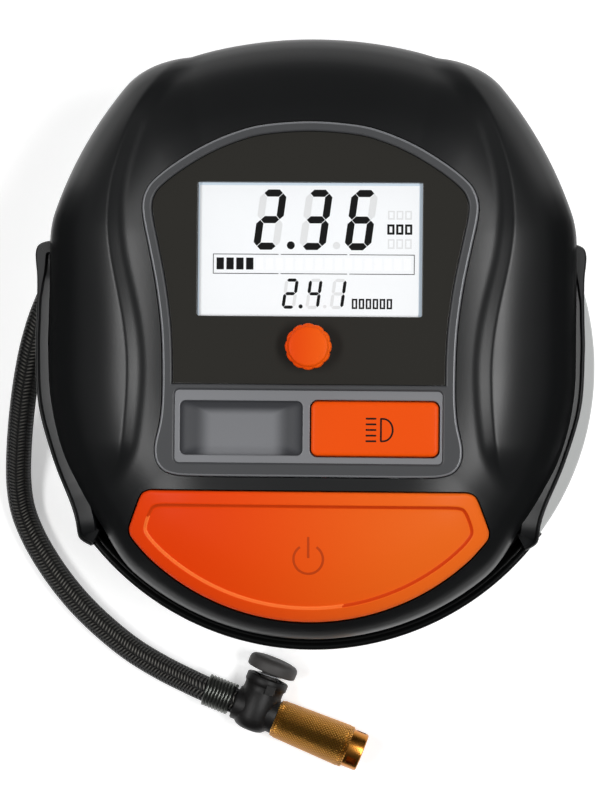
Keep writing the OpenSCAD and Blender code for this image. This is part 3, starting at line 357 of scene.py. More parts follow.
def smudgeGroup():
    g, given, out = newGroup("smudge", {"Base": 0.4, "Range": 0.1}, ("Roughness",))
    place = node(g, "TexCoord", {}).outputs["Object"]
    noise = node(g, "TexNoise", {"Vector": place, "Scale": 35, "Detail": 5, "Distortion": 0.6})
    swing = mathNode(g, "SUBTRACT", noise.outputs["Fac"], 0.5)
    g.links.new(mathNode(g, "MULTIPLY_ADD", swing, given["Range"], given["Base"]), out["Roughness"])
    return g


groups = {"grain": grainGroup(), "braid": braidGroup(), "knurl": knurlGroup(), "smudge": smudgeGroup()}
# the tones of a knurl's grooves and points, painted shade in the grooves and painted highlight on the points,
# and the painted glints' colour and glance on the yarn crowns
knurlShadeAndHighlight = (0.75, 2.2)
yarnGlints = {"glint": "#7c7a75", "facing": 0.3, "least": 0.04}
reliefStrength = 0.8
look = {}


# grain is scale, strength and depth; relief is a group, its counts around and along, and depth; depths are mm
def material(name, colour, rough=0.5, metal=0.0, coat=0.0, coatRough=0.1, grain=None, relief=None,
             swing=0.06, glow=0.0, alpha=1.0, specular=0.5, tone=0.0, fade=None):
    m = look[name] = bpy.data.materials.new(name)
    m.use_nodes = True
    tree = m.node_tree
    p = tree.nodes["Principled BSDF"].inputs
    base = linear(colour)
    values = {"Base Color": base, "Metallic": metal, "Roughness": rough, "Coat Weight": coat,
              "Coat Roughness": coatRough, "Specular IOR Level": specular, "Alpha": alpha}
    if glow:
        values.update({"Emission Color": base, "Emission Strength": glow})
    for key, value in values.items():
        p[key].default_value = value
    if swing:
        worn = node(tree, "Group", {"Base": rough, "Range": swing}, node_tree=groups["smudge"])
        tree.links.new(worn.outputs["Roughness"], p["Roughness"])
    if relief:
        kind, around, length, depth = relief
        strength, values = reliefStrength, {"Around": around, "Along": length}
    elif grain:
        kind, (scale, strength, depth) = "grain", grain
        values = {"Scale": scale}
    else:
        return m
    out = node(tree, "Group", values, node_tree=groups[kind]).outputs
    inputs = {"Strength": strength, "Distance": depth * mm, "Height": out["Height"]}
    tree.links.new(node(tree, "Bump", inputs).outputs["Normal"], p["Normal"])
    painted = None
    # painted shade darkens the knurl's grooves and a painted highlight lightens its points
    if kind == "knurl":
        painted = blend(tree, out["Height"], *[shaded(base, tone) for tone in knurlShadeAndHighlight])
    # painted highlight: pale glints on the yarn crowns, strongest where the hose faces the viewer and fading
    # towards its sides
    elif kind == "braid":
        facing = node(tree, "LayerWeight", {"Blend": 0.5}).outputs["Facing"]
        lit = ramp(tree, facing, 0, yarnGlints["facing"], 1, yarnGlints["least"], "LINEAR")
        share = mathNode(tree, "MULTIPLY", out["Glint"], lit)
        painted = blend(tree, share, base, linear(yarnGlints["glint"]))
    elif tone:
        painted = blend(tree, out["Tone"], shaded(base, 1 - tone), shaded(base, 1 + tone))
    # fade paints the colour paler across x, as painted light falling on one side
    elif fade:
        far, start, end = fade
        share = ramp(tree, placeParts(tree)[0], start * mm, end * mm)
        painted = blend(tree, share, base, linear(far))
    if painted:
        tree.links.new(painted, p["Base Color"])
    return m


material("shell", "#0d0e0f", 0.34, specular=0.33, grain=(1500, 0.3, 0.04), tone=0.1)
material("wing", "#111213", 0.42, specular=0.42, grain=(1500, 0.3, 0.04), tone=0.1)
material("rim", "#0a0b0b", 0.24, specular=0.2, grain=(900, 0.2, 0.03))
material("pan", "#cccecd", grain=(1300, 0.5, 0.06), tone=0.04)
material("bezel", "#393a3c", 0.42, specular=0.35, grain=(2200, 0.35, 0.03), tone=0.06)
material("plate", "#727376", 0.4, metal=0.2, grain=(2200, 0.35, 0.03), tone=0.05)
material("scoop", "#737477", 0.45, specular=0.15, grain=(2200, 0.35, 0.03))
material("window", "#2b2a27", 0.14, specular=0.2, grain=(500, 0.05, 0.01))
material("pane", "#101214", 0.04, alpha=0.03, specular=0.2, swing=0.01)
material("lcd", "#e6e8ea", 0.4, glow=0.2, grain=(700, 0.05, 0.01), swing=0.02)
material("ink", "#121212", 0.4, specular=0.1, swing=0.02)
material("ghost", "#cbcccd", 0.4, glow=0.3, swing=0.02)
material("faint", "#e2e3e4", 0.4, glow=0.3, swing=0.02)
material("shade", "#bccad6", 0.4, glow=0.25, swing=0.02)
material("orange", "#e04c05", 0.4, specular=0.08, grain=(1400, 0.3, 0.04), tone=0.04)
# painted light: the knob and the power button are painted paler towards their right, where the light falls
material("knob", "#d84304", 0.42, specular=0.07, grain=(1400, 0.25, 0.04), fade=("#e2570c", -7, 8))
material("power", "#d93c07", 0.38, specular=0.07, grain=(1400, 0.25, 0.04), fade=("#df631a", -50, 62))
# painted light: shaded and lit copies of the orange for the power button's step
material("powerStepShaded", "#c63c0b", 0.4, specular=0.08, grain=(1400, 0.25, 0.04))
material("powerStepLit", "#ea6f30", 0.4, specular=0.08, grain=(1400, 0.25, 0.04))
material("powerMark", "#b03b0c", 0.45, specular=0.1, grain=(1400, 0.2, 0.02))
material("mark", "#17110d", specular=0.08, grain=(1400, 0.2, 0.02))
material("rubber", "#1b1b1c", 0.7, specular=0.3, grain=(800, 0.6, 0.08))
material("black", "#0f0e0e", 0.48, specular=0.3, grain=(900, 0.6, 0.08), tone=0.15)
material("cap", "#3a3837", 0.6, grain=(900, 0.6, 0.08), tone=0.15)
material("brass", "#ba7a33", 0.26, metal=1.0, grain=(700, 0.3, 0.03), tone=0.12)
material("knurled", "#d98a3b", 0.34, metal=1.0, relief=("knurl", 40, 83, 0.8))
material("braid", "#060606", 0.4, specular=0.25, relief=("braid", 10, 80, 0.7))
material("wire", "#5a5c58", 0.28, metal=0.9, grain=(600, 0.3, 0.02))
material("steel", "#9a9b9d", 0.3, metal=1.0, grain=(600, 0.2, 0.02), tone=0.05)
material("zinc", "#8d8e8f", 0.42, metal=1.0, grain=(500, 0.3, 0.02), tone=0.08)
material("cast", "#b4b6b8", metal=0.9, grain=(600, 0.6, 0.06), tone=0.08)
material("copper", "#8d5230", 0.4, metal=0.8, grain=(700, 0.6, 0.08))
material("ferrite", "#333335", 0.75, grain=(900, 0.6, 0.06))
material("white", "#e6e4de", 0.45, grain=(900, 0.3, 0.04))
material("nylon", "#e8e2d2", 0.42, grain=(900, 0.3, 0.04))
material("board", "#1d5a34", 0.38, coat=0.3, grain=(900, 0.3, 0.03), tone=0.1)
material("lens", "#f2f7fa", 0.06, alpha=0.3, swing=0.01)
material("tube", "#d8d6c8", 0.4, grain=(600, 0.2, 0.03))
material("redWire", "#b01818", 0.4, grain=(600, 0.2, 0.03))

# hose: off the drum, over the table and into the chuck
hose = {"radius": 4.6, "woundRadius": 89.7, "height": 21.0, "centre": (0, -6.5), "start": 212.9, "leave": 490,
        "leadOut": 8, "leadIn": (12.5, 6, 0), "spacing": 2.0, "sides": 28,
        "route": [(-70, 50.5, 21), (-82, 39, 21.1), (-91, 27.5, 21.4), (-97, 15.5, 21.8),
                  (-101.3, 2.5, 21.6), (-104.2, -11, 19.8), (-106.3, -24, 16.2), (-107.8, -36.5, 11.6),
                  (-108.4, -48, 7.6), (-107.3, -58, 5.4), (-104, -67, 4.8), (-99, -76, 4.7),
                  (-92.3, -85.5, 4.7), (-84.7, -94.2, 4.7), (-76, -102.2, 4.8), (-66.3, -109.6, 5.1),
                  (-55.5, -115.8, 6.2), (-45.5, -120.4, 7.9)],
        "chuck": (-21.2, -130.1, 9.2), "turn": -21.5, "inlet": -8.0}


def heading(degrees):
    return np.array([math.cos(math.radians(degrees)), math.sin(math.radians(degrees)), 0])


def quarterTurn(v):
    return np.array([-v[1], v[0], 0])


axisA = heading(hose["turn"])
axisB = quarterTurn(axisA)
chuckAt = np.array(hose["chuck"])


def hoseLine(h):
    drum = np.array([*h["centre"], h["height"]])
    wound = [drum + h["woundRadius"] * heading(a) for a in np.linspace(h["start"], h["leave"], 90)]
    away = quarterTurn(heading(h["leave"]))
    end = chuckAt + h["inlet"] * axisA
    free = openCurve([wound[-1], wound[-1] + h["leadOut"] * away] + h["route"]
                     + [end - d * axisA for d in h["leadIn"]], 12)
    return evenly(np.concatenate([wound[:-1], free]), h["spacing"])


hosePath = hoseLine(hose)
hoseTube = finishMesh(tubeMesh("hose", hosePath, hose["radius"], hose["sides"]), "braid",
                      ("hose_wound", "hose_free"), 60)

# chuck: axis a runs along its brass nose, axis b along its bleed button
chuck = {"sleeveStart": 7.8, "sleeveLength": 28.2, "sleeveRadius": 7.75, "capRadius": 9.1, "capStart": 14.6,
         "noseRadius": 7.0, "noseLength": 5.6,
         "slot": {"angles": (120, 240, 0), "halfWidth": 1.4, "ends": (1.0, 4.4), "depth": (4.6, 9)},
         "spring": {"radius": 5.35, "wire": 1.25, "length": 12.4, "turns": 8, "steps": 24}}


def onChuck(points):
    return [tuple(chuckAt + p[0] * axisA + p[1] * axisB + p[2] * np.array([0, 0, 1.0])) for p in points]


def turned(name, profile, axis="a", count=72):
    rings = []
    for r, s in profile:
        around = [(r * math.cos(t), r * math.sin(t)) for t in turns(count)]
        rings.append(onChuck([(s, p, q) if axis == "a" else (q, s, p) for p, q in around]))
    return loftMesh(name, rings)


def chuckBody():
    stem = [(0.01, -7.8), (2.2, -7.75), (3.6, -7.6), (5.0, -7.1), (6.0, -6.2), (6.8, -4.9), (7.2, -3.6),
            (7.4, -2.6), (7.4, 6.4), (7.25, 6.7), (7.25, 8.9), (7.4, 9.2), (7.75, 9.6), (7.8, 12.0),
            (7.5, 12.4), (6.4, 12.6), (5.4, 12.5), (5.3, 6), (3.06, 6), (3.05, 3), (0.01, 3)]
    neck = [(5.0, -8.0), (5.9, -7.9), (6.25, -7.4), (6.25, -2), (3, -1.8)]
    front = [(3, 2), (6.0, 2.2), (6.0, 8.2), (5.7, 8.9), (4.2, 9.0), (4.2, 4)]
    lug = [(0.5, 6.9, 6.2), (4.6, 6.9, 5.0), (4.6, 11, 5.0), (0.5, 11, 6.2),
           (0.9, 7.3, 8.15), (4.0, 7.3, 7.1), (4.0, 10.6, 7.1), (0.9, 10.6, 8.15)]
    parts = [turned("stem", stem, "b"), turned("neck", neck), turned("front", front),
             rawMesh("lug", onChuck(lug), gridFaces(2, 4))]
    return finishMesh(joined("chuckBody", parts), "black", ("chuck_body",), 40)


def bleedButton(c):
    r, s = c["capRadius"], c["capStart"]
    profile = [(0.01, 5.1), (2.95, 5.2), (3.0, s), (r - 0.7, s), (r - 0.2, s + 0.3), (r, s + 0.9),
               (r, s + 3.0), (r - 0.25, s + 3.8), (r - 1.0, s + 4.5), (r - 2.6, s + 4.9), (r - 4, s + 5.05),
               (r - 5.5, s + 4.7), (2.0, s + 4.45), (0.01, s + 4.4)]
    return finishMesh(turned("bleedButton", profile, "b"), "cap", ("bleed_button",),
                      body="bleed_button")


def hoseSpring(s, inlet):
    start, n = inlet - s["length"] + s["wire"], s["steps"]
    pitch = (s["length"] - 2 * s["wire"]) / s["turns"]
    path = [(start + pitch * i / n, s["radius"] * math.cos(2 * math.pi * i / n),
             s["radius"] * math.sin(2 * math.pi * i / n)) for i in range(s["turns"] * n + 1)]
    o = tubeMesh("hoseSpring", onChuck(path), s["wire"] / 2, 10, tuple(axisA))
    return finishMesh(o, "wire", ("hose_spring",), 60)


def sleeve(c):
    s, l, r = c["sleeveStart"], c["sleeveLength"], c["sleeveRadius"]
    knurled = [(r - 0.75 + 0.75 * k / 12, s + 1.6 + (l - 3.4) * k / 12) for k in range(13)]
    profile = [(6.25, s), (r - 1.5, s), (r - 1.0, s + 0.35), (r - 0.95, s + 1.1), (r - 0.8, s + 1.5)]
    profile += knurled + [(r - 0.15, s + l - 1.5), (r - 0.05, s + l - 0.5), (r - 0.3, s + l - 0.1),
                          (7.3, s + l), (7.05, s + l), (7.05, s + l - 4.9), (6.25, s + l - 4.9)]
    o = turned("knurledSleeve", profile, "a", 96)
    wrapUv(o, 96, [along for r, along in profile])
    return finishMesh(o, "knurled", ("chuck_sleeve",), body="chuck_sleeve")


def collet(c):
    n, r, cutter = c["sleeveStart"] + c["sleeveLength"], c["noseRadius"], c["slot"]
    end = n + c["noseLength"]
    profile = [(4.1, 6.3), (6.2, 9.1), (6.2, n), (r, n + 0.02), (r, end - 0.9), (r - 0.15, end - 0.3),
               (r - 0.6, end), (4.7, end), (4.2, end - 0.25), (4.0, end - 0.7), (4.0, end - 16.2),
               (1.5, end - 16.3)]
    o = turned("collet", profile, "a", 96)
    near, far = [n + v for v in cutter["ends"]]
    w = cutter["halfWidth"]
    cutters = []
    for angle in cutter["angles"]:
        out = heading(angle)
        side = quarterTurn(out)
        points = [(x, *(out * d + side * across)[:2]) for d in cutter["depth"]
                  for x, across in ((near, -w), (far, -w), (far, w), (near, w))]
        cutters.append(rawMesh("slot", onChuck(points), gridFaces(2, 4, flip=True)))
    return finishMesh(cut(o, cutters), "brass", ("chuck_collet",), 30)


chuckPieces = [chuckBody(), bleedButton(chuck), hoseSpring(chuck["spring"], hose["inlet"]), sleeve(chuck),
               collet(chuck)]
print("chuck")

# housing
housing = {"pan": 100, "shift": 6.5, "rim": 40.0, "wall": 2.6, "roof": 2.2, "channel": 81.6,
           "browRadius": 150, "cheekRadius": 139.4, "cheekInset": 3.1, "cheekCentre": 1.056, "cheekDrop": 6.2,
           "cheekBlend": 12.8, "cheekRise": 2.2, "cheekFade": (-50, 18), "rimFade": (8, 16), "band": 5.0,
           "crestReach": 34, "shellStep": 1.0, "halfWidth": 91.0, "bellyInset": 6.0,
           "bellySpan": (0.59, 0.18), "bezelCut": (62, 92), "powerCut": (46, 90), "bezelGap": 0.35,
           "powerGap": 0.45, "endInset": 58,
           "lampSlot": {"span": (82.5, 97.5), "depth": (4, -9), "z": (43.4, 49.6)}}
browY = housing["pan"] + housing["shift"]
bellyRadius = housing["pan"] - housing["bellyInset"]


def smooth(t):
    t = np.clip(t, 0, 1)
    return t * t * (3 - 2 * t)


def softMin(a, b, k):
    h = np.clip(0.5 + 0.5 * (b - a) / k, 0, 1)
    return b * (1 - h) + a * h - k * h * (1 - h)


def reach(angle, cx, cy, r):
    along = np.cos(angle) * cx + np.sin(angle) * cy
    return along + np.sqrt(np.maximum(0, along * along - cx * cx - cy * cy + r * r))


def upper(angle, inset):
    h = housing
    cheekX = h["pan"] - h["cheekInset"] - h["cheekRadius"]
    side = reach(angle, np.where(np.cos(angle) >= 0, cheekX, -cheekX),
                 browY - h["cheekCentre"] * h["pan"] + h["shift"], h["cheekRadius"] - inset)
    top = (browY - h["cheekDrop"] + h["shift"] - inset) / np.maximum(0.01, np.sin(angle))
    brow = reach(angle, 0, browY + h["shift"] - h["browRadius"], h["browRadius"] - inset)
    return softMin(side, -softMin(-top, -brow, 0.15), h["cheekBlend"])


def lower(angle, inset):
    start, span = housing["bellySpan"]
    t = smooth((-np.sin(angle) - start) / span)
    return housing["halfWidth"] - inset + (bellyRadius - housing["halfWidth"]) * t


def shellReach(angle, inset):
    side = (housing["halfWidth"] - inset) / np.maximum(0.01, np.abs(np.cos(angle)))
    return np.where(np.sin(angle) > 0, softMin(side, upper(angle, inset), 2.0), lower(angle, inset))


# how far the crown has drawn in, and its height above the channel
crownSteps = [(0, -8), (0, 0), (0, 10), (0, 17), (0.5, 19.6), (1.9, 22.4), (4.6, 25.9), (9.5, 30.0),
              (16.6, 33.4), (26, 36.4), (38, 38.3), (52, 38.8), (70, 38.9)]
crownLine = evenly(openCurve(crownSteps, 12)[12:], 0.5)
crownLine[:, 0] = np.maximum.accumulate(np.maximum(crownLine[:, 0], 0))
# the cheek's crest, from where it fades out up to the notch in the brow
crestHalf = [(0, -120), (74, -120), (80, -66), (70, -52), (65.6, -42), (63.7, -34), (62.5, -25),
             (61.8, -16), (61.6, -7), (62.1, 1), (63.2, 9), (64.8, 17), (66.6, 25), (68.1, 33), (68.9, 41),
             (68.8, 49), (67.9, 57), (66.1, 65), (63.6, 73), (60.2, 81), (55.8, 88.6), (50.6, 95),
             (45.6, 99.6), (42.6, 104), (40, 120), (0, 120)]
crestPlan = closedCurve(bothSides(crestHalf), 5)


def signedDistance(x, y, loop):
    p = np.stack([np.ravel(x), np.ravel(y)], 1)
    a = np.array(loop)
    b = np.roll(a, -1, 0)
    best = np.full(len(p), 1e9)
    inside = np.zeros(len(p), bool)
    for (ax, ay), (bx, by) in zip(a, b):
        ex, ey = bx - ax, by - ay
        t = np.clip(((p[:, 0] - ax) * ex + (p[:, 1] - ay) * ey) / (ex * ex + ey * ey), 0, 1)
        best = np.minimum(best, np.hypot(p[:, 0] - ax - t * ex, p[:, 1] - ay - t * ey))
        crosses = ((ay > p[:, 1]) != (by > p[:, 1]))
        if abs(ey) > 1e-9:
            inside ^= crosses & (p[:, 0] < ax + (p[:, 1] - ay) * ex / ey)
    return np.where(inside, best, -best).reshape(np.shape(x))


def raised(x, y, z):
    h = housing
    d = signedDistance(x, y, crestPlan)
    swell = softMin(1 - d / h["band"], 1 - smooth(-d / h["crestReach"]), 0.1)
    swell = -softMin(-swell, 0, 0.35)
    (fadeY, spanY), (fadeZ, spanZ) = h["cheekFade"], h["rimFade"]
    return h["cheekRise"] * swell * smooth((y - fadeY) / spanY) * smooth((z - h["rim"] - fadeZ) / spanZ)


def crownHeight(x, y):
    angle = np.arctan2(y + housing["shift"], x)
    r = np.hypot(x, y + housing["shift"])
    low, high = np.full(np.shape(x), -2.0), np.full(np.shape(x), 80.0)
    for _ in range(24):
        mid = (low + high) / 2
        far = shellReach(angle, mid) > r
        low, high = np.where(far, mid, low), np.where(far, high, mid)
    z = housing["rim"] + np.interp((low + high) / 2, crownLine[:, 0], crownLine[:, 1])
    return z + raised(x, y, z)


bezelHalf = [(0, 0), (0.6, 0), (0.8, 0.005), (0.885, 0.03), (0.908, 0.08), (0.875, 0.16), (0.864, 0.25),
             (0.872, 0.40), (0.905, 0.53), (0.95, 0.64), (0.985, 0.72), (0.993, 0.765), (0.975, 0.8),
             (0.93, 0.832), (0.815, 0.877), (0.64, 0.929), (0.46, 0.967), (0.28, 0.99), (0, 1)]
bezelSize = {"width": 114.6, "length": 120.2, "low": -44.0, "top": 79.0, "rim": 3.4, "seat": 73.5,
             "waist": 0.864, "windowRise": 31.3, "edge": 0.75,
             "recess": {"margin": 4.2, "length": 24.6, "rise": 16.9, "corner": 1.6, "overlap": 0.1}}
bezelPlan = closedCurve(bothSides([(x * bezelSize["width"] / 2, bezelSize["low"] + y * bezelSize["length"])
                                   for x, y in bezelHalf]), 8)
# darkAbove and darkRight bound the painted shade on the button's step
power = {"radius": 80.0, "centre": -14.0, "side": 61.6, "topHalf": 56.8, "top": -49.0, "rise": 0.5,
         "deep": 1.25, "base": 58.0, "middle": 20.0, "soften": 70, "stepRings": (10, 13),
         "darkAbove": -58, "darkRight": 12}


def powerPlan(g):
    r, c, s, t, y = [power[key] for key in ("radius", "centre", "side", "topHalf", "top")]
    arc = [math.radians(a) for a in range(-90, -45, 2)]
    half = [((r + g) * math.cos(a), c + (r + g) * math.sin(a)) for a in arc]
    half += [(s - 2.2 + g * 0.8, y - 18.2 - g * 0.6), (s - 0.3 + g, y - 15.8), (s + g, y - 13.4),
             (t + 1 + g, y - 3.4), (t - 0.2 + g * 0.8, y - 1 + g * 0.5), (t - 2.6, y + g), (0, y + g)]
    return bothSides(half)


def softened(p, passes):
    for _ in range(passes):
        p = 0.25 * np.roll(p, 1, 0) + 0.5 * p + 0.25 * np.roll(p, -1, 0)
    return p


def roundCorners(loop, step, passes=3):
    return softened(evenly(np.concatenate([np.array(loop), [loop[0]]]), step)[:-1], passes)


def frontShell(h):
    count = 600
    angles = np.linspace(0, 2 * math.pi, count, endpoint=False)
    rows = []

    def row(radius, z, lift=True):
        x, y = radius * np.cos(angles), radius * np.sin(angles) - h["shift"]
        z = np.full(count, float(z))
        rows.append(np.stack([x, y, z + (raised(x, y, z) if lift else 0)], 1))
    for inset, z in crownLine[::-1]:
        if inset < h["endInset"]:
            row(shellReach(angles, inset), h["rim"] + z)
    row(shellReach(angles, 0.3), h["rim"], False)
    row(h["channel"], h["rim"], False)
    row(h["channel"], h["rim"] + h["wall"], False)
    row(shellReach(angles, h["wall"]), h["rim"] + h["wall"], False)
    for inset, z in crownLine[::3]:
        if inset < h["endInset"] - 2 and z > 1:
            row(shellReach(angles, inset + h["wall"]), h["rim"] + z - h["roof"], False)
    shell = rawMesh("frontShell", np.concatenate(rows), gridFaces(len(rows), count, flip=True))
    lamp = h["lampSlot"]
    far, near = [h["browRadius"] + d for d in lamp["depth"]]
    arc = [math.radians(a) for a in np.linspace(*lamp["span"], 17)]
    loop = [(r * math.cos(a), browY - h["browRadius"] + r * math.sin(a))
            for r, line in ((far, arc), (near, arc[::-1])) for a in line]
    return cut(shell, [prism("cutBezel", grow(bezelPlan, h["bezelGap"]), *h["bezelCut"]),
                       prism("cutPower", roundCorners(powerPlan(h["powerGap"]), 0.8), *h["powerCut"]),
                       prism("cutLamp", loop, *lamp["z"])])


wingLine = [(88.4, 36.6), (91.6, 36.3), (94.3, 35.0), (95.2, 32.4), (95.1, 29), (94.7, 25), (94.6, 19),
            (94.8, 9), (95.0, -1), (93.9, -20), (88.6, -38.5), (82.6, -53), (80.4, -60), (79.6, -65.6),
            (78.2, -67.6), (75.4, -69.3)]
# a wing's measures along y; its shelf runs from low to a little past top
wingShelf = {"top": 23.5, "low": -70.0, "past": 5, "fade": (8, 7), "deep": 56.2, "tilt": 0.22, "shift": -0.9,
             "height": [(-70, 54.5), (-67, 56.8), (-62, 58.6), (-53, 59.6), (-46, 59.8), (-36, 58.4),
                        (-20, 57.2)],
             "width": [(-70, 5.4), (-58, 5.4), (-49, 4.9), (-38, 4.4), (-20, 3.6), (16, 3.2), (24, 2.4)],
             "lip": [(-70, 1.1), (16, 1.3), (22, 2.2), (28, 3.6), (34, 4.3)],
             "crest": [(-70, 55), (-67, 57.6), (-62, 59.5), (-56, 60.6), (-50, 61.0), (-36, 59.3), (-20, 58)]}


def wingSection(y, w):
    keys = ("crest", "lip", "width", "height")
    top, lip, wide, height = [float(np.interp(y, *zip(*w[key]))) for key in keys]
    shelf = float(smooth((y - w["low"]) / w["fade"][0]) * smooth((w["top"] + w["past"] - y) / w["fade"][1]))
    z = min(w["deep"] + (height - w["deep"]) * shelf, top - 1)
    groove = min(top - 1.2, z - 0.4)
    rise = w["tilt"] * wide
    back = lip + wide
    return [(0.0, 40), (0.0, top - 1.5), (0.08, top - 0.8), (0.3, top - 0.25), (0.6, top),
            (lip - 0.35, top - 0.05), (lip - 0.1, top - 0.4), (lip, top - 0.9), (lip + 0.05, groove),
            (lip + 0.2, groove), (lip + 0.25, z - 0.25), (lip + 0.4, z),
            (lip + 0.2 + wide * 0.6, z + rise * 0.7), (back - 0.1, z + rise), (back + 0.1, z + rise - 0.3),
            (back + 0.15, z - 2), (back + 0.4, 45), (back + 1.0, 45), (back + 1.0, 40)]


def wing(side, w):
    line = evenly(openCurve(wingLine, 10), 1.0)
    points = []
    for (x, y), (tx, ty) in zip(line, directions(np.gradient(line, axis=0))):
        section = wingSection(y, w)
        points += [(side * (x + u * ty) + w["shift"], y - u * tx, z) for u, z in section]
    return rawMesh("wing", points, gridFaces(len(line), len(section), flip=side > 0))


# the rim below the power button, by radius and height
lowRim = {"span": (215.5, 324.5), "steps": 140,
          "section": [(housing["channel"], housing["rim"]), (98.2, 40), (98.5, 40.3), (98.5, 48.0),
                      (98.3, 48.6), (97.8, 48.95),
                      (97.1, 49.0), (96.6, 48.7), (96.3, 48.1), (96.05, 47.9), (95.7, 48.0), (95.2, 47.8),
                      (94.4, 46.5), (93.0, 45), (housing["channel"], 45)]}


def lip(r):
    points = [(far * math.cos(a), far * math.sin(a) - housing["shift"], z)
              for a in np.radians(np.linspace(*r["span"], r["steps"])) for far, z in r["section"]]
    return rawMesh("lip", points, gridFaces(r["steps"], len(r["section"]), flip=True))


finishMesh(frontShell(housing), "shell", ("front_shell",), 32)
finishMesh(joined("wings", [wing(1, wingShelf), wing(-1, wingShelf)]), "wing", (), 40)
finishMesh(lip(lowRim), "rim", (), 40)
print("front shell")

# the rear pan's edge, and what is cut through it
panCuts = {"edge": [(14, 2.5), (10, 2.5), (7, 3.3), (3.2, 5.5), (0.8, 9), (0, 12), (0, 15.6)],
           "hub": 20.0, "feet": (8, 56, ((62, 45), (50, -68))), "screws": (4.3, 36, ((66, 28), (58, -50))),
           "depth": 3.7, "vent": (2.4, 30, 1.1), "ventPitch": 5.2, "ventAt": (20, -68)}


def rearPan(h, c):
    count = 360
    angles = np.linspace(0, 2 * math.pi, count, endpoint=False)

    def panReach(inset):
        top = np.where(np.sin(angles) > 0, upper(angles, inset + h["shellStep"]), 0)
        return -softMin(np.full(count, inset - float(h["pan"])), -top, 2.0) - 0.4
    rows = [(c["hub"], 2.5)] + [(panReach(i), z) for i, z in openCurve(c["edge"], 6)]
    rows += [(panReach(0.4), 16.0), (81.5, 16.0), (81.4, 5.1), (c["hub"], 5.1)]
    points = [(float(r[k]) * math.cos(angles[k]), float(r[k]) * math.sin(angles[k]) - h["shift"], z)
              for far, z in rows for r in [np.broadcast_to(far, count)] for k in range(count)]
    o = rawMesh("rearPan", points, gridFaces(len(rows), count))
    cutters = [prism("cutHole", circle(side * x, y, radius, sides), 0, c["depth"])
               for radius, sides, places in (c["feet"], c["screws"]) for x, y in places for side in (1, -1)]
    x, y = c["ventAt"]
    cutters += [prism("cutVent", roundedBox(*c["vent"], x + i * c["ventPitch"], y, 4), 0, 6.2)
                for i in range(-3, 4)]
    return finishMesh(cut(o, cutters), "pan", ("rear_pan",), 32)


rearPan(housing, panCuts)
print("rear pan")

# bezel, window and display
windowLow = bezelSize["low"] + bezelSize["windowRise"]
inner = grow(bezelPlan, -bezelSize["rim"])
windowHalf = max(p[0] for p in inner if abs(p[1] - windowLow) < 8)
kept = [tuple(p) for p in inner if p[1] > windowLow + 0.4]
windowPlan = [(-windowHalf, windowLow), (windowHalf, windowLow)]
windowPlan += [p for p in kept if p[0] > 0] + [p for p in kept if p[0] <= 0]
display = {"width": 76.4, "length": 45.6, "centre": 33.0, "windowTop": 78.0, "windowLow": 76.4, "lcd": 75.6,
           "thick": 2.6}
controls = {"light": (43.0, 18.4, 22.5, -27.6), "gap": 0.45, "scoop": (41.6, 18.4, -22.7, -27.6),
            "panel": 78.3, "knobZ": 79.0, "knobHeight": 7.0, "knobRadius": 7.85, "knobHole": 9.2, "lobes": 12,
            "lobeDepth": 0.6, "lobeForm": 0.6}


def hole(loop):
    return list(reversed([tuple(p) for p in loop]))


def screen(inset, corner):
    return roundedBox(display["width"] - inset, display["length"] - inset, corner, 0, display["centre"])


knobHole = hole(roundedBox(controls["knobHole"], controls["knobHole"], controls["knobHole"] / 2 - 0.01))


def bezelPieces(b, d, c):
    r = b["recess"]

    def recess(extra):
        width = b["width"] * b["waist"] - 2 * r["margin"]
        return roundedBox(width + extra, r["length"] + extra, r["corner"], 0, b["low"] + r["rise"])
    frameRim = plateMesh("bezelRim", [bezelPlan, hole(grow(np.array(windowPlan), 0.12)), hole(recess(0))],
                         b["seat"], b["top"], 0.7)
    w, l, x, y = c["light"]
    lightHole = roundedBox(w + 2 * c["gap"], l + 2 * c["gap"], 2.6, x, y)
    w, l, x, y = c["scoop"]
    scoopHole = roundedBox(w, l, 2.0, x, y)
    panel = plateMesh("bezelPanel", [recess(2 * r["overlap"]), hole(lightHole), hole(scoopHole)], b["seat"],
                      c["panel"], 0.25)
    shelf = plateMesh("bezelShelf", [grow(np.array(windowPlan), 0.3), hole(screen(0, 1.0)), knobHole],
                      b["seat"], d["windowLow"] - 0.02, 0.1)
    finishMesh(panel, "plate", (), 35)
    o = finishMesh(joined("bezelFrame", [frameRim, shelf]), "bezel", ("bezel",), 35)
    # painted highlight: the sloped bevel round the outside is given the paler plate paint, standing in for
    # light on the edge
    o.data.materials.append(look["plate"])
    centres = np.array([tuple(f.center) for f in o.data.polygons]) / mm
    for f, inset in zip(o.data.polygons, signedDistance(centres[:, 0], centres[:, 1], bezelPlan)):
        if inset < b["edge"] and 0.1 < f.normal.z < 0.99:
            f.material_index = 1


def scoopFloor(c):
    w, l, x, y = c["scoop"]
    steps = ((-0.1, -0.1, 0.1), (0.05, 0.05, 0.6), (0.5, 0.35, 1.3), (1.6, 0.9, 1.9), (3.2, 1.5, 2.4),
             (5.0, 2.1, 2.8), (6.0, 2.6, 3.05), (7.2, 3.2, 3.2), (8.6, 4.2, 3.3), (12, 6, 3.35))
    rings = [[(px, py, c["panel"] - depth) for px, py in
              roundedBox(w - 2 * side, l - 2 * end, max(0.8, 2.0 - end * 0.2), x, y)]
             for side, end, depth in steps]
    n = len(rings[0])
    faces = gridFaces(len(rings), n, True, False)
    faces.append(tuple((len(rings) - 1) * n + k for k in range(n)))
    o = rawMesh("scoop", [p for ring in rings for p in ring], faces)
    return finishMesh(o, "scoop", (), 50)


# painted shade on the scoop: its middle and edge colours, and the shares of its half width and half length
# where the edge colour takes over
scoopPaintedShade = {"middle": "#727376", "edge": "#3c3d40", "across": (0.48, 0.77), "up": (0.45, 0.8)}


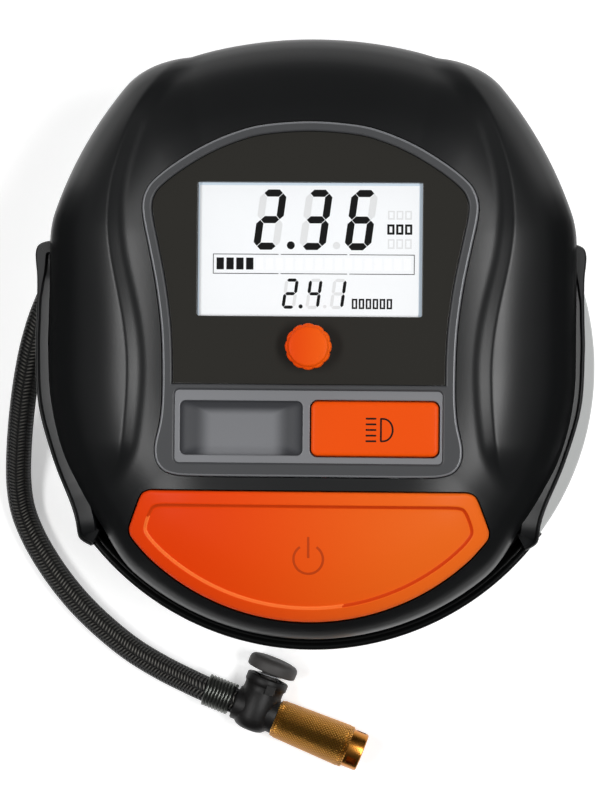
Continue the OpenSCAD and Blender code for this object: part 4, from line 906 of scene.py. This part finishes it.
def paintScoopShade(tree, c, tones):
    # painted shade: the pocket is painted darker on its end ramps and under its upper edge, where shade falls
    w, l, x, y = [value * mm for value in c["scoop"]]
    place = placeParts(tree)
    across = mathNode(tree, "ABSOLUTE", mathNode(tree, "SUBTRACT", place[0], x))
    up = mathNode(tree, "SUBTRACT", place[1], y)
    parts = [ramp(tree, value, *[share * size / 2 for share in tones[key]])
             for value, key, size in ((across, "across", w), (up, "up", l))]
    colour = blend(tree, mathNode(tree, "MAXIMUM", *parts), linear(tones["middle"]), linear(tones["edge"]))
    tree.links.new(colour, tree.nodes["Principled BSDF"].inputs["Base Color"])


bezelPieces(bezelSize, display, controls)
scoopFloor(controls)
paintScoopShade(look["scoop"].node_tree, controls, scoopPaintedShade)
border = plateMesh("windowBorder", [windowPlan, hole(screen(0.1, 0.9)), knobHole], display["windowLow"],
                   display["windowTop"], 0.2)
finishMesh(border, "window", ("window",), 30)
pane = plateMesh("windowPane", [screen(0.14, 0.88)], display["windowTop"] - 0.5,
                 display["windowTop"] - 0.05, 0.05)
finishMesh(pane, "pane", (), 30)
lcd = plateMesh("displayPanel", [screen(0.3, 0.4)], display["lcd"] - display["thick"], display["lcd"], 0.1)
finishMesh(lcd, "lcd", ("display_panel",), 30)


def segmentShapes(w, h, t, lean, gap):
    def bar(x0, y0, x1, y1):
        start, end = np.array([x0, y0]), np.array([x1, y1])
        ahead = (end - start) / np.hypot(*(end - start))
        side = np.array([-ahead[1], ahead[0]]) * t / 2
        start, end, tip = start + ahead * gap, end - ahead * gap, ahead * t / 2
        return [start, start + tip - side, end - tip - side, end, end - tip + side, start + tip + side]
    left, right, low, mid, high = t / 2, w - t / 2, t / 2, h / 2, h - t / 2
    lines = {"a": (left, high, right, high), "b": (right, mid, right, high), "c": (right, low, right, mid),
             "d": (left, low, right, low), "e": (left, low, left, mid), "f": (left, mid, left, high),
             "g": (left, mid, right, mid)}
    return {k: [(x + y * lean, y) for x, y in bar(*v)] for k, v in lines.items()}


digitBars = {"1": "bc", "2": "abged", "3": "abgcd", "4": "fgbc", "6": "afgedc"}
inkLoops, ghostLoops, faintLoops = [], [], []


def digit(symbol, x, y, w, h, t, lean, gap):
    for k, loop in segmentShapes(w, h, t, lean, gap).items():
        (inkLoops if k in digitBars[symbol] else ghostLoops).append([(x + px, y + py) for px, py in loop])


def box(x0, y0, x1, y1, r=0.1):
    return roundedBox(x1 - x0, y1 - y0, r, (x0 + x1) / 2, (y0 + y1) / 2, 3)


def glyphs(loops, x, y, pitch, w, h, t, count):
    for k in range(count):
        a = x + k * pitch
        loops += [box(a, y, a + t, y + h), box(a + w - t, y, a + w, y + h), box(a + t, y, a + w - t, y + t),
                  box(a + t, y + h - t, a + w - t, y + h)]


# dots are x, y and radius; glyphs are x, y, pitch, width, height, line and count
figures = {"lean": 0.132,
           "big": {"symbols": "236", "at": (-19.5, -3.9, 11.45), "low": 32.85, "size": (8.95, 20.45, 2.42),
                   "gap": 0.13},
           "small": {"symbols": "241", "at": (-9.6, -1.5, 6.7), "low": 12.9, "size": (4.6, 10.25, 1.08),
                     "gap": 0.09},
           "bar": {"x": (-32.95, 35.45), "y": (24.65, 31.45), "line": 0.25, "breaks": (-10.3, 13.0),
                   "break": 0.75},
           "blocks": {"x": -31.72, "pitch": 3.346, "w": 2.5, "y": (26.1, 30.15), "count": 20, "filled": 4},
           "inkDots": ((-6.55, 34.4, 1.35), (-3.05, 13.7, 0.7)),
           "ghostDots": ((8.95, 34.4, 1.25), (5.15, 13.7, 0.6)),
           "inkGlyphs": ((26.1, 38.2, 3.0, 2.45, 3.5, 0.75, 3), (14.3, 12.95, 2.36, 1.85, 3.5, 0.6, 6)),
           "ghostGlyphs": ((26.3, 43.3, 2.9, 2.3, 3.0, 0.5, 3), (26.3, 33.4, 2.9, 2.3, 3.3, 0.5, 3))}


def displayFigures(f):
    for row in (f["big"], f["small"]):
        for symbol, x in zip(row["symbols"], row["at"]):
            digit(symbol, x, row["low"], *row["size"], f["lean"], row["gap"])
    for loops, key in ((inkLoops, "inkDots"), (ghostLoops, "ghostDots")):
        loops.extend([circle(*spot, 24) for spot in f[key]])
    bar, t = f["bar"], f["bar"]["line"]
    (x0, x1), (y0, y1) = bar["x"], bar["y"]
    edges = [x0] + [b + s * bar["break"] / 2 for b in bar["breaks"] for s in (-1, 1)] + [x1]
    for a, b in zip(edges[::2], edges[1::2]):
        inkLoops.extend([box(a, y1 - t, b, y1, 0.05), box(a, y0, b, y0 + t, 0.05)])
    inkLoops.extend([box(x0, y0 + t, x0 + t, y1 - t, 0.05), box(x1 - t, y0 + t, x1, y1 - t, 0.05)])
    cells = f["blocks"]
    for k in range(cells["count"]):
        a = cells["x"] + k * cells["pitch"]
        cell = box(a, cells["y"][0], a + cells["w"], cells["y"][1])
        (inkLoops if k < cells["filled"] else faintLoops).append(cell)
    for loops, key in ((inkLoops, "inkGlyphs"), (ghostLoops, "ghostGlyphs")):
        for row in f[key]:
            glyphs(loops, *row)


def inkPlate(name, key, loops, thick):
    points, faces = [], []
    for loop in loops:
        faces += gridFaces(2, len(loop), offset=len(points))
        points += [(x, y, display["lcd"] + z) for z in (0, thick) for x, y in loop]
    finishMesh(rawMesh(name, points, faces), key, (), 30)


displayFigures(figures)
lcdTop, lcdSide = display["centre"] + display["length"] / 2, display["width"] / 2
lcdLow = lcdTop - display["length"]
# painted shadow: pale blue-grey strips along the display's top and sides, where the window border shades it
shadeLoops = [box(-lcdSide + 0.2, lcdTop - 1.1, lcdSide - 0.2, lcdTop - 0.2),
              box(lcdSide - 1.3, lcdLow + 0.2, lcdSide - 0.2, lcdTop - 1.1),
              box(-lcdSide + 0.2, lcdLow + 0.2, -lcdSide + 0.7, lcdTop - 1.1)]
inkPlate("displayInk", "ink", inkLoops, 0.03)
inkPlate("displayGhost", "ghost", ghostLoops, 0.015)
inkPlate("displayFaint", "faint", faintLoops, 0.01)
inkPlate("displayShade", "shade", shadeLoops, 0.01)
print("bezel and display")


# knob, light button and power button
def knob(c):
    def ring(inset, z, deep):
        out = []
        for a in turns(240):
            wave = abs(math.cos(c["lobes"] * a / 2)) ** c["lobeForm"]
            r = c["knobRadius"] - inset - c["lobeDepth"] * deep * (1 - wave)
            out.append((r * math.cos(a), r * math.sin(a), c["knobZ"] + z))
        return out
    h = c["knobHeight"]
    steps = [(1.2, 0.05, 0.6), (0.35, 0.05, 0.75), (0, 0.5, 0.75), (0, h - 1.9, 0.75), (0.12, h - 1.5, 0.65),
             (0.4, h - 1.2, 0.4), (0.62, h - 1.12, 0.1), (0.8, h - 1.05, 0), (0.95, h - 0.85, 0),
             (1.3, h - 0.25, 0), (1.5, h - 0.08, 0), (1.9, h, 0), (4.5, h, 0), (7.0, h - 0.02, 0)]
    rings = [ring(*step) for step in steps]
    finishMesh(loftMesh("knob", rings), "knob", ("set_knob",), 50, "knob")


def lightButton(c):
    w, l, x, y = c["light"]
    steps = ((-1.4, 71.7), (-1.4, 73.1), (0, 73.2), (0, 78.4), (0.12, 78.8), (0.4, 79.12), (0.8, 79.28),
             (1.4, 79.34), (3.0, 79.38), (6.0, 79.4))
    rings = [[(px, py, z) for px, py in
              roundedBox(w - 2 * draw, l - 2 * draw, max(0.8, 2.3 - draw), x, y, 10)] for draw, z in steps]
    finishMesh(loftMesh("lightButton", rings), "orange", ("light_button",), 40, "light_button")


headlamp = {"at": (23.4, -27.9), "z": (79.36, 79.43), "bars": (-3.95, -0.35), "barHalf": 0.31, "pitch": 1.9,
            "lens": (0.9, 1.9, 3.6, 4.1), "line": 0.62}


def headlampMark(m):
    x, y = m["at"]
    start, end = m["bars"]
    heights = [y + m["pitch"] * k for k in (-2, -1, 0, 1, 2)]
    parts = [prism("bar", box(x + start, h - m["barHalf"], x + end, h + m["barHalf"], 0.2), *m["z"])
             for h in heights]
    flat, bend, wide, tall = m["lens"]
    line = [(x + bend + wide * math.cos(a), tall * math.sin(a)) for a in np.radians(np.linspace(-90, 90, 25))]
    line = [(x + flat, -tall)] + line + [(x + flat, tall)]
    outer = [(px, y + py) for px, py in roundCorners(line, 0.25)]
    inner = grow(np.array(outer), -m["line"])
    low, high = m["z"]
    lines = [[(px, py, z) for px, py in loop]
             for loop, z in ((outer, low), (outer, high), (inner, high), (inner, low))]
    parts.append(bandMesh("ringMark", lines, True))
    finishMesh(joined("headlampMark", parts), "mark", (), 30, "light_button")


def onCrown(loop, rise):
    p = np.array(loop, float)
    return np.concatenate([p, (crownHeight(p[:, 0], p[:, 1]) + rise)[:, None]], 1)


powerMark = {"at": (0.3, -71.9), "radius": (4.6, 5.4), "open": 34, "stem": (0.4, 7.6), "stemHalf": 0.4,
             "sunk": -0.1, "proud": 0.03}


def powerSymbol(m, rise):
    x, y = m["at"]
    arc = np.radians(np.linspace(90 + m["open"], 450 - m["open"], 60))
    ring = [[(x + r * math.cos(a), y + r * math.sin(a)) for a in arc] for r in m["radius"]]
    stem = [[(x + side * m["stemHalf"], y + h) for h in np.linspace(*m["stem"], 12)] for side in (1, -1)]
    parts = []
    for inner, outer in (ring, stem):
        lines = ((inner, m["sunk"]), (outer, m["sunk"]), (outer, m["proud"]), (inner, m["proud"]))
        parts.append(bandMesh("mark", [onCrown(line, rise + lift) for line, lift in lines], False))
    finishMesh(joined("powerMark", parts), "powerMark", (), 30, "power_button")


def powerButton(p):
    plan = roundCorners(powerPlan(0), 0.6)
    field = softened(plan, p["soften"])
    rings = [np.concatenate([plan, np.full((len(plan), 1), p["base"])], 1)]
    for draw, drop in ((0, 1.5), (0.08, 0.9), (0.3, 0.42), (0.65, 0.12), (1.1, 0), (1.8, 0), (2.6, 0)):
        rings.append(onCrown(grow(plan, -draw), p["rise"] - drop))
    # the step down to the field, as shares of its depth
    for draw, share in ((4.0, 0), (4.3, 0), (4.5, 0.0696), (4.7, 0.261), (5.15, 0.739), (5.35, 0.896),
                        (5.6, 0.974), (6.2, 1)):
        rings.append(onCrown(grow(field, -draw), p["rise"] - share * p["deep"]))
    edge = grow(field, -6.2)
    centre = np.array([0, p["top"] - p["middle"]])
    for share in np.linspace(0.95, 0.02, 24):
        rings.append(onCrown(centre + (edge - centre) * share, p["rise"] - p["deep"]))
    o = loftMesh("powerButton", [list(map(tuple, r)) for r in rings])
    finishMesh(o, "power", ("power_button",), 40, "power_button")
    o.data.materials.append(look["powerStepShaded"])
    o.data.materials.append(look["powerStepLit"])
    # painted light: the step is painted shaded along its top and right, and painted lit along the rest
    first, last = p["stepRings"]
    for f in o.data.polygons:
        if len(f.vertices) == 4 and first <= min(f.vertices) // len(plan) <= last:
            dark = f.center.y > p["darkAbove"] * mm or f.center.x > p["darkRight"] * mm
            f.material_index = 1 if dark else 2


knob(controls)
lightButton(controls)
headlampMark(headlamp)
powerButton(power)
powerSymbol(powerMark, power["rise"] - power["deep"])
print("controls")

# the pieces that are shown as the frame gives them
nodeLooks = {
    "pan": ["hose_drum"], "rubber": ["rubber_feet", "cord_gland", "piston_seal", "chuck_seal"],
    "zinc": ["housing_screws", "board_screws", "motor_screws", "frame_screws", "head_screws", "motor_can"],
    "white": ["backlight", "motor_end_cap", "encoder_plunger"],
    "board": ["display_board", "work_light_board"],
    "steel": ["encoder_body", "encoder_shaft", "light_button_spring", "power_button_springs", "bleed_spring",
              "motor_shaft", "gear_axle", "axle_clip", "crank_pin", "wrist_pin", "valve_plate"],
    "black": ["light_switch", "power_switch", "cooling_fan", "pressure_sensor"],
    "lens": ["work_light_lens"], "ferrite": ["motor_magnets"], "copper": ["motor_armature"],
    "brass": ["motor_pinion", "outlet_fitting", "hose_fitting"], "nylon": ["drive_gear"],
    "cast": ["gearbox_frame", "connecting_rod", "piston", "cylinder", "cylinder_head"],
    "tube": ["air_tube"], "redWire": ["wire_harness"],
}
for key, names in nodeLooks.items():
    for name in names:
        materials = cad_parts[name].data.materials
        materials.clear()
        materials.append(look[key])
print("frame pieces dressed")

# floor, backdrop and lamps; places are metres
light = {"wall": 1.0, "zenith": 0.12, "front": 0.3, "left": 5.8, "right": 7.4, "leftAt": (-0.54, -0.04, 1.0),
         "rightAt": (0.5, -0.04, 1.0), "aim": (0, 0, 0.05), "size": (0.6, 0.22),
         "ceiling": (0.15, 0.55), "nearWall": (-0.7, 0.1), "floorGlow": 0.4, "glowReach": (0.2, 0.8)}


def areaLamp(name, place, power, p):
    data = bpy.data.lights.new(name, "AREA")
    data.shape = "RECTANGLE"
    data.size, data.size_y = p["size"]
    data.energy = power
    lamp = bpy.data.objects.new(name, data)
    scene.collection.objects.link(lamp)
    lamp.location = place
    lamp.rotation_mode = "QUATERNION"
    lamp.rotation_quaternion = (Vector(p["aim"]) - Vector(place)).to_track_quat("-Z", "Y")


def makeWorld(p):
    scene.world = bpy.data.worlds.new("studio")
    scene.world.use_nodes = True
    tree = scene.world.node_tree
    back = tree.nodes["Background"].inputs
    back["Color"].default_value = (1, 1, 1, 1)
    place = placeParts(tree, "Generated")
    # white walls that darken towards an open ceiling and towards the viewer's side
    fall = ramp(tree, place[2], *p["ceiling"], p["wall"], p["zenith"])
    front = ramp(tree, place[1], *p["nearWall"], p["front"])
    direct = node(tree, "LightPath", {}).outputs["Is Camera Ray"]
    level = mathNode(tree, "MULTIPLY", fall, front)
    tree.links.new(mathNode(tree, "MAXIMUM", level, direct), back["Strength"])


def makeFloor(p, half=900, z=-0.05):
    corners = [(-half, -half, z), (half, -half, z), (half, half, z), (-half, half, z)]
    o = rawMesh("floor", corners, [(0, 1, 2, 3)])
    m = material("floor", "#ffffff", 0.8, specular=0.1, glow=1, swing=0)
    tree = m.node_tree
    paint = tree.nodes["Principled BSDF"].inputs
    paint["Base Color"].default_value = (0.9, 0.9, 0.9, 1)
    # the lamps fall off with distance, so the far floor glows more
    place = node(tree, "TexCoord", {}).outputs["Object"]
    away = node(tree, "VectorMath", {0: place}, operation="LENGTH").outputs["Value"]
    share = ramp(tree, away, *p["glowReach"], p["floorGlow"], 1, "LINEAR")
    rays = node(tree, "LightPath", {}).outputs
    seen = mathNode(tree, "ADD", rays["Is Camera Ray"], rays["Is Glossy Ray"])
    seen = mathNode(tree, "MINIMUM", mathNode(tree, "ADD", seen, rays["Is Transmission Ray"]), 1.0)
    tree.links.new(mathNode(tree, "MULTIPLY", seen, share), paint["Emission Strength"])
    o.data.materials.append(m)


cards = {"paint": "#464646", "side": 150, "near": -185, "far": 85, "front": -188, "height": 100}


def darkCards(c):
    # standing out of view, these keep the far floor out of the dark shell's flanks
    paint = material("darkCard", c["paint"], 0.9, specular=0.1)
    side, near, far, front, height = [c[key] for key in ("side", "near", "far", "front", "height")]
    for name, a, b in (("leftCard", (-side, near), (-side, far)), ("rightCard", (side, far), (side, near)),
                       ("frontCard", (side, front), (-side, front))):
        card = rawMesh(name, [(*a, 0), (*b, 0), (*b, height), (*a, height)], [(0, 1, 2, 3)])
        card.data.materials.append(paint)
        card.visible_camera = card.visible_diffuse = card.visible_shadow = False


areaLamp("leftLamp", light["leftAt"], light["left"], light)
areaLamp("rightLamp", light["rightAt"], light["right"], light)
makeWorld(light)
darkCards(cards)
makeFloor(light)
scene.view_settings.view_transform = "Standard"
